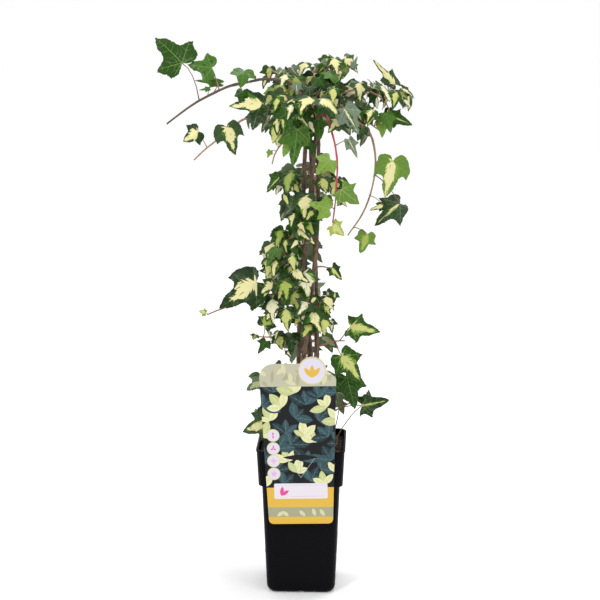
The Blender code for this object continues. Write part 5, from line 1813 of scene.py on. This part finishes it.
def make_foliage(grown, placed, leaf_materials, shoot_materials):
    """Twigs and leaves of every mass, joined into a few pieces, each kind apart."""
    patterns = leaf_patterns()
    leaves = {}
    twigs = {}
    nodes = {}
    for mass in MASSES:
        growth = grown[mass.name]
        group = group_of(mass)
        leaf_batch = leaves.setdefault(group, Batch())
        twig_batch = twigs.setdefault(group, Batch())
        nodes.setdefault(group, []).append(mass.name)
        rng = random.Random(mass.seed + LOOK_SEED)
        fine = grow_finer(mass, growth, placed) if mass.gap else []
        looks = COLUMN_LOOKS if group.startswith("column") else COMMON_LOOKS
        twig_slot = SHOOT_ORDER.index("salmon")
        for twig in growth.twigs:
            line = thick_line(twig, TWIG_STEPS, SHOOT_THICK.get(mass.name, TWIG_SLIM))
            if mass.name in SHOOT_LOOKS:
                add_bark(twig_batch, line, SHOOT_ROUND, SHOOT_LOOKS[mass.name], mass.seed)
            else:
                twig_batch.add(tube(*line, TWIG_ROUND), twig_slot)
        for twig in fine:
            twig_batch.add(tube(*thick_line(twig, FINE_STEPS), FINE_ROUND), twig_slot)
        for leaf, feature in zip(growth.features, FEATURES.get(mass.name, ())):
            add_leaf(leaf_batch, leaf, feature.look, feature.outline, FEATURE_CURLS, patterns, rng)
            twig_batch.add(stalk_tube(leaf, rng), SHOOT_ORDER.index(rng.choice(FEATURE_STALKS)))
        for feature in SMALL_FEATURES.get(mass.name, ()):
            leaf = feature_leaf(feature, growth.twigs[0])
            add_leaf(leaf_batch, leaf, feature.look, feature.outline, FEATURE_CURLS, patterns, rng)
            twig_batch.add(stalk_tube(leaf, rng), SHOOT_ORDER.index(FEATURE_STALKS[0]))
        for leaf in growth.leaves:
            outline = rng.choice(LARGE_OUTLINES if leaf.length > LARGE_LEAF else SMALLER_OUTLINES)
            add_leaf(leaf_batch, leaf, pick(rng, looks), outline, COMMON_CURLS, patterns, rng)
            twig_batch.add(stalk_tube(leaf, rng), SHOOT_ORDER.index(pick(rng, STALK_LOOKS)))
    for shape in soil_shoots(grown, random.Random(SOIL_SHOOT_SEED)):
        twigs["base"].add(shape, SHOOT_ORDER.index("hair"))
    for group in leaves:
        leaves[group].build("leaves_" + group, leaf_materials, nodes[group])
        twigs[group].build("twigs_" + group, shoot_materials, ())


def rounded(x, y, half, radius):
    """Moves a point of a square onto the square's rounded corners."""
    inner = half - radius
    dx = max(abs(x) - inner, 0.0)
    dy = max(abs(y) - inner, 0.0)
    if dx and dy:
        share = max(dx, dy) / math.hypot(dx, dy)
        x = math.copysign(inner + dx * share, x)
        y = math.copysign(inner + dy * share, y)
    return x, y


def soil_width():
    """Width of the pot's inside at the soil's top."""
    *_, collar, rim = inner_profile(SEAT)
    return collar[0] + (rim[0] - collar[0]) * (SOIL_TOP - collar[1]) / (rim[1] - collar[1])


def soil_top(width):
    """The crumbly top of the peat: points and faces."""
    steps = SOIL_STEPS
    top = []
    for i in range(steps + 1):
        for j in range(steps + 1):
            across, back = ((k / steps - 0.5) * width for k in (i, j))
            x, y = rounded(across, back, width / 2, CORNER_RADIUS - WALL)
            spot = Vector((x, y, 0.0))
            lift = 0.0
            for scale, rough, octaves, height in SOIL_NOISE:
                lift += noise.fractal(spot * scale, rough, 2.0, octaves) * height
            if i in (0, steps) or j in (0, steps):
                lift = -SOIL_RELIEF
            top.append(Vector((x, y, SOIL_TOP - SOIL_DIP + max(min(lift, SOIL_CREST), -SOIL_RELIEF))))
    faces = []
    for i in range(steps):
        for j in range(steps):
            a = i * (steps + 1) + j
            faces.append((a, a + steps + 1, a + steps + 2, a + 1))
    return top, faces


def make_soil(materials):
    """Peat with a crumbly top, chips and fibres."""
    bed = Batch()
    rng = random.Random(SOIL_SEED)
    *lower, collar, _ = inner_profile(SEAT)
    rings = [square_ring(width, height, CORNER_RADIUS - WALL) for width, height in lower + [collar]]
    width = soil_width()
    rings.append(square_ring(width - SOIL_NARROW, SOIL_TOP - SOIL_RELIEF, CORNER_RADIUS - WALL))
    bed.add(stacked_rings(rings), DARK_PEAT)
    top, faces = soil_top(width)
    bed.add((top, faces), [rng.choice(SOIL_MIX) for _ in faces])
    reach = width / 2 - SOIL_MARGIN
    for _ in range(SOIL_CHIPS):
        spot = Vector((rng.uniform(-reach, reach), rng.uniform(-reach, reach), SOIL_TOP - CHIP_DEPTH))
        bed.add(chip_shape(spot, rng), rng.choice(CHIP_MIX), False)
    for _ in range(SOIL_FIBRES):
        x, y = rng.uniform(-reach, reach), rng.uniform(-reach, reach)
        spot = Vector((x, y, SOIL_TOP + rng.uniform(*FIBRE_HEIGHT)))
        heading, turn = rng.uniform(0, 360), rng.uniform(-FIBRE_TURN, FIBRE_TURN)
        length = rng.uniform(*FIBRE_LENGTH)
        path = curved_path(
            spot, heading, turn, FIBRE_RISE, FIBRE_FALL, length, FIBRE_RINGS, rng, FIBRE_WANDER
        )
        path = [Vector((max(-reach, min(reach, p.x)), max(-reach, min(reach, p.y)), p.z)) for p in path]
        bed.add(tube(path, tapered(*FIBRE_RADII, FIBRE_RINGS), FIBRE_ROUND), FIBRE)
    bed.build("soil_bed", materials, ["soil"])


def chip_shape(spot, rng):
    """A small irregular crumb."""
    size = rng.uniform(*CHIP_SIZE)
    stretch = [rng.uniform(*span) for span in CHIP_STRETCH]
    spin = Matrix.Rotation(rng.uniform(0, math.pi), 3, "Z")
    turn = spin @ Matrix.Rotation(rng.uniform(-CHIP_TILT, CHIP_TILT), 3, "X")
    verts = []
    for axis in ((1, 0, 0), (0, 1, 0), (-1, 0, 0), (0, -1, 0), (0, 0, 1), (0, 0, -1)):
        corner = Vector(axis) * rng.uniform(*CHIP_CORNER)
        verts.append(spot + turn @ Vector(c * s for c, s in zip(corner, stretch)) * size)
    faces = [(0, 1, 4), (1, 2, 4), (2, 3, 4), (3, 0, 4), (1, 0, 5), (2, 1, 5), (3, 2, 5), (0, 3, 5)]
    return verts, faces


def pot_rings():
    """The pot's rings from its foot up the outside and down the inside."""
    collar_foot = POT_HEIGHT - COLLAR_HEIGHT
    rings = []
    for step in range(ROUND_STEPS + 1):
        bend = math.radians(90 * step / ROUND_STEPS)
        inset = FOOT_ROUND * (1 - math.sin(bend))
        height = FOOT_ROUND_HEIGHT * (1 - math.cos(bend))
        rings.append(square_ring(BODY_FOOT_WIDTH - 2 * inset, height, CORNER_RADIUS - inset / 2))
    slope = (BODY_TOP_WIDTH - BODY_FOOT_WIDTH) / (collar_foot - FOOT_ROUND_HEIGHT)
    for height, proud in POT_SEAM:
        width = BODY_FOOT_WIDTH + slope * (height - FOOT_ROUND_HEIGHT)
        rings.append(square_ring(width + 2 * proud, height, CORNER_RADIUS))
    for width, height in (
        (BODY_TOP_WIDTH, collar_foot),
        (COLLAR_FOOT_WIDTH - EDGE, collar_foot),
        (COLLAR_FOOT_WIDTH - EDGE / 4, collar_foot + EDGE / 4),
        (COLLAR_FOOT_WIDTH, collar_foot + EDGE),
        (RIM_WIDTH, POT_HEIGHT - LIP_HEIGHT),
        (RIM_WIDTH + 2 * LIP_OUT, POT_HEIGHT - LIP_HEIGHT + LIP_OUT),
        (RIM_WIDTH + 2 * LIP_OUT, POT_HEIGHT - LIP_OUT / 2),
        (RIM_WIDTH + LIP_OUT, POT_HEIGHT),
    ):
        rings.append(square_ring(width, height, CORNER_RADIUS))
    for width, height in reversed(inner_profile(0.0)):
        rings.append(square_ring(width, height, CORNER_RADIUS - WALL))
    return rings


def make_pot(material):
    """The moulded pot with its seam and the drain notches in its foot."""
    pot = Batch()
    pot.add(stacked_rings(pot_rings()), 0)
    piece = pot.build("pot_shell", [material], ["pot"])
    half = BODY_FOOT_WIDTH / 2
    low = (half - DRAIN_DEPTH, -DRAIN_WIDTH / 2, -DRAIN_HEIGHT)
    high = (half + DRAIN_DEPTH, DRAIN_WIDTH / 2, DRAIN_HEIGHT)
    verts, faces = box_shape(low, high)
    for side in range(4):
        turn = Matrix.Rotation(math.radians(90 * side), 3, "Z")
        mesh = bpy.data.meshes.new("drain")
        mesh.from_pydata([tuple(turn @ v) for v in verts], [], faces)
        cutter = bpy.data.objects.new("drain", mesh)
        bpy.context.scene.collection.objects.link(cutter)
        cut = piece.modifiers.new("drain", "BOOLEAN")
        cut.operation = "DIFFERENCE"
        cut.object = cutter
        seen = piece.evaluated_get(bpy.context.evaluated_depsgraph_get())
        piece.data = bpy.data.meshes.new_from_object(seen)
        piece.modifiers.clear()
        bpy.data.objects.remove(cutter, do_unlink=True)
    piece.data.shade_smooth()
    piece.data.set_sharp_from_angle(angle=math.radians(SMOOTH_PLASTIC))


def moved(x, z, along, across, turn):
    """A point of the print moved along and across a direction."""
    a = math.radians(turn)
    dx = along * math.cos(a) - across * math.sin(a)
    dz = along * math.sin(a) + across * math.cos(a)
    return x + dx, z + dz


def petal(x, z, length, width, turn):
    """A plain pointed oval, for the card's print."""
    points = []
    for hand in (-1, 1):
        for k in range(PETAL_STEPS):
            t = k / PETAL_STEPS if hand == -1 else 1 - k / PETAL_STEPS
            across = hand * width / 2 * math.sin(math.pi * t) ** PETAL_ROUND
            points.append(moved(x, z, length * t, across, turn))
    return points


def frame_box(left, right, low, high, radius=0.0):
    """Rectangle of the print, with round corners if it has a radius."""
    if not radius:
        return [(left, low), (right, low), (right, high), (left, high)]
    points = arc(right - radius, low + radius, radius, 270, 360, FRAME_STEPS)
    points += arc(right - radius, high - radius, radius, 0, 90, FRAME_STEPS)
    points += arc(left + radius, high - radius, radius, 90, 180, FRAME_STEPS)
    points += arc(left + radius, low + radius, radius, 180, 270, FRAME_STEPS)
    return points


def circle(x, z, radius, corners):
    return arc(x, z, radius, 0, 360 - 360 / corners, corners - 1)


def strip_shape(x0, z0, x1, z1, width):
    """A straight line of the print."""
    run = Vector((x1 - x0, z1 - z0)).normalized()
    dx, dz = -run.y * width / 2, run.x * width / 2
    return [(x0 + dx, z0 + dz), (x0 - dx, z0 - dz), (x1 - dx, z1 - dz), (x1 + dx, z1 + dz)]


def sprig_shapes(rng):
    """Outlines and colours of the sprigs in the card's picture, each petal with its veins."""
    shapes = []
    for row in range(SPRIG_ROWS):
        for column in range(SPRIG_COLUMNS):
            place = column + 0.5 * (row % 2) + rng.uniform(*SPRIG_SHIFT)
            x = SPRIG_LEFT + SPRIG_REACH * place / SPRIG_COLUMNS
            z = PICTURE_LOW + (PICTURE_HIGH - PICTURE_LOW) * (row + rng.uniform(*SPRIG_RAISE)) / SPRIG_ROWS
            lean = rng.uniform(*SPRIG_LEAN)
            pale = (2 * row + column) % PALE_CYCLE in PALE_PLACES
            colours = rng.choice(PALE_SPRIGS if pale else DARK_SPRIGS)
            for colour, swing in zip(colours, SPRIG_TURNS):
                turn = lean + swing
                line = PRINT_LINES[colour]
                length = rng.uniform(*SPRIG_LEAF) * (PALE_LEAF_SWELL if pale else 1.0)
                shapes.append((petal(x, z, length, length * rng.uniform(*SPRIG_LEAF_WIDTH), turn), colour))
                tip = moved(x, z, MIDRIB_REACH * length, 0, turn)
                shapes.append((strip_shape(x, z, *tip, PRINT_LINE), line))
                for share, side_turn in PETAL_VEINS:
                    foot = moved(x, z, share * length, 0, turn)
                    end = moved(*foot, PETAL_VEIN_REACH * length, 0, turn + side_turn)
                    shapes.append((strip_shape(*foot, *end, PETAL_VEIN_WIDTH), line))
    return shapes


def emblem_shapes():
    """Petals and lines that stand on the card's discs and plate."""
    shapes = []
    for turn in TAB_PETAL_TURNS:
        shapes.append((petal(TAB_X, TAB_Z - TAB_PETAL_DROP, *TAB_PETAL, turn), "yellow"))
    for count, (z, colour) in enumerate(zip(DISC_Z, DISC_PETAL_COLOURS), start=2):
        for turn in range(90, 450, 360 // count):
            shapes.append((petal(DISC_X, z, *DISC_PETAL, turn), colour))
    for turn in PLATE_TURNS:
        shapes.append((petal(*PLATE_PETAL, turn), "pink"))
    left, right = PLATE_LINE_ENDS
    for z in PLATE_LINES:
        shapes.append((strip_shape(left, z, right, z, PRINT_LINE), "pale_pink"))
    return shapes


def card_print(rng):
    """The card's coloured shapes from the back to the front: outline, colour, and the shape it keeps to."""
    half = CARD_TOP_WIDTH
    card, picture = 0, 1
    shapes = [
        (card_outline(), "band", card),
        (frame_box(-half, half, PICTURE_LOW, PICTURE_HIGH), "picture", card),
    ]
    for colour, count, left, reach, heights, lengths, width, turns in BAND_PETALS:
        for k in range(count):
            x = left + reach * (k + rng.random()) / count
            z = rng.uniform(*heights)
            shapes.append((petal(x, z, rng.uniform(*lengths), width, rng.uniform(*turns)), colour, card))
    shapes += [(shape, colour, picture) for shape, colour in sprig_shapes(rng)]
    shapes.append((frame_box(-half, half, CARD_FOOT - CARD_CORNER, PICTURE_LOW), "yellow", card))
    shapes.append((frame_box(-half, half, *STRIP_Z), "strip", card))
    shapes.append((frame_box(*PLATE_BOX, PLATE_CORNER), "plate", card))
    for x in STRIP_PETALS:
        z = STRIP_Z[0] + STRIP_PETAL_RAISE
        shapes.append((petal(x, z, *STRIP_PETAL, rng.uniform(*STRIP_TURNS)), "pale_band", card))
    shapes.append((petal(*BAR_PETAL), "bar", picture))
    for line in CUT_LINES:
        shapes.append((strip_shape(*line, PRINT_LINE), "cut", picture))
    for z in DISC_Z:
        for colour, radius in DISC_RADII:
            shapes.append((circle(DISC_X, z, radius, DISC_CORNERS), colour, card))
    for colour, radius in TAB_DISC_RADII:
        shapes.append((circle(*TAB_DISC, radius, TAB_DISC_CORNERS), colour, card))
    return shapes + [(shape, colour, card) for shape, colour in emblem_shapes()]


def card_front(names, front):
    """The card's printed face, and the colour slot of each of its triangles."""
    shapes = card_print(random.Random(CARD_SEED))
    outlines = [[Vector(p) * PRINT_SCALE for p in outline] for outline, _, _ in shapes]
    points, pieces, owners = cut_apart(outlines, [])
    spots = []
    for point in points:
        x, z = leaned(point.x / PRINT_SCALE, point.y / PRINT_SCALE)
        spots.append(Vector((x, front, z)))
    triangles = []
    slots = []
    for triangle, inside in zip(pieces, owners):
        if 0 in inside:
            shown = max(k for k in inside if shapes[k][2] in inside)
            triangles.append(triangle)
            slots.append(names.index(shapes[shown][1]))
    return (spots, triangles), slots


def card_hook(back):
    """The strip from the card's rear face over the rim and down its inside."""
    inner = -(RIM_WIDTH / 2 - WALL - SEAT)
    over = POT_HEIGHT + SEAT
    under = POT_HEIGHT - HOOK_DEPTH
    side = [
        (back - CARD_THICK / 2, over),
        (inner, over),
        (inner, under),
        (inner + CARD_THICK, under),
        (inner + CARD_THICK, over + CARD_THICK),
        (back - CARD_THICK / 2, over + CARD_THICK),
    ]
    rings = []
    for end in (-0.5, 0.5):
        ring = []
        for y, z in side:
            width = HOOK_TIP_WIDTH if z == under else HOOK_WIDTH
            ring.append(Vector((CARD_MIDDLE_X + end * width, y, z)))
        rings.append(ring)
    return stacked_rings(rings)


def make_card():
    """The printed card with its edge, plain back and hook."""
    names = list(CARD_COLOURS)
    back = card_back()
    front = back - CARD_THICK
    card = Batch()
    card.add(*card_front(names, front), False)
    outline = [leaned(x, z) for x, z in card_outline()]
    count = len(outline)
    rim = [Vector((x, y, z)) for y in (front, back) for x, z in outline]
    sides = [(k, k + count, (k + 1) % count + count, (k + 1) % count) for k in range(count)]
    edge = names.index("edge")
    card.add((rim, sides + [tuple(range(count, 2 * count))]), edge, False)
    card.add(card_hook(back), edge, False)
    card.build("hang_card", surface_looks("card", CARD_COLOURS, CARD_FINISH), ["label_card"])


def make_camera():
    """The camera that was matched to the photo, turned and pitched towards the plant."""
    turn, pitch = CAMERA_TURN, CAMERA_PITCH
    right = Vector((math.cos(turn), math.sin(turn), 0))
    ahead = Vector((-math.sin(turn) * math.cos(pitch), math.cos(turn) * math.cos(pitch), -math.sin(pitch)))
    above = right.cross(ahead)
    eye = Vector((math.sin(turn), -math.cos(turn), 0)) * CAMERA_DISTANCE + Vector((0, 0, CAMERA_HEIGHT))
    camera = bpy.data.objects.new("camera", bpy.data.cameras.new("camera"))
    place = Matrix((right, above, -ahead)).transposed().to_4x4()
    place.translation = eye + right * CAMERA_SIDE
    camera.matrix_world = place
    camera.data.sensor_width = CAMERA_SENSOR
    camera.data.lens = CAMERA_LENS
    camera.data.clip_end = CAMERA_FAR
    bpy.context.scene.collection.objects.link(camera)
    bpy.context.scene.camera = camera


def area_light(name, place, aim, size, power):
    data = bpy.data.lights.new(name, "AREA")
    data.shape = "DISK"
    data.size = size
    data.energy = power
    light = bpy.data.objects.new(name, data)
    light.location = place
    light.rotation_euler = (Vector(aim) - Vector(place)).to_track_quat("-Z", "Y").to_euler()
    bpy.context.scene.collection.objects.link(light)


def make_studio():
    """White surroundings, three soft lights and a plain pale floor."""
    world = bpy.data.worlds.new("studio")
    world.use_nodes = True
    background = world.node_tree.nodes["Background"]
    background.inputs["Color"].default_value = (1.0, 1.0, 1.0, 1.0)
    background.inputs["Strength"].default_value = WORLD_LIGHT
    bpy.context.scene.world = world
    bpy.context.scene.view_settings.view_transform = "Standard"
    for light in LIGHTS:
        area_light(*light)
    reach = FLOOR_REACH
    corners = [(-reach, -reach, 0), (reach, -reach, 0), (reach, reach, 0), (-reach, reach, 0)]
    mesh = bpy.data.meshes.new("floor")
    mesh.from_pydata(corners, [], [(0, 1, 2, 3)])
    mesh.materials.append(surface_look("floor", FLOOR_WHITE, FLOOR_FINISH))
    floor = bpy.data.objects.new("floor", mesh)
    floor.location.z = -FLOOR_DROP
    bpy.context.scene.collection.objects.link(floor)


def main():
    leaf_materials = surface_looks("leaf", LEAF_COLOURS, LEAF_FINISH)
    shoot_materials = surface_looks("shoot", SHOOT_COLOURS, SHOOT_FINISH)
    limbs, grown, placed = grow_plant()
    make_limbs(limbs, shoot_materials)
    make_foliage(grown, placed, leaf_materials, shoot_materials)
    make_soil(surface_looks("peat", PEAT_COLOURS, PEAT_FINISH))
    make_pot(surface_look("pot_plastic", POT_BLACK, POT_FINISH))
    make_card()
    make_camera()
    make_studio()


main()
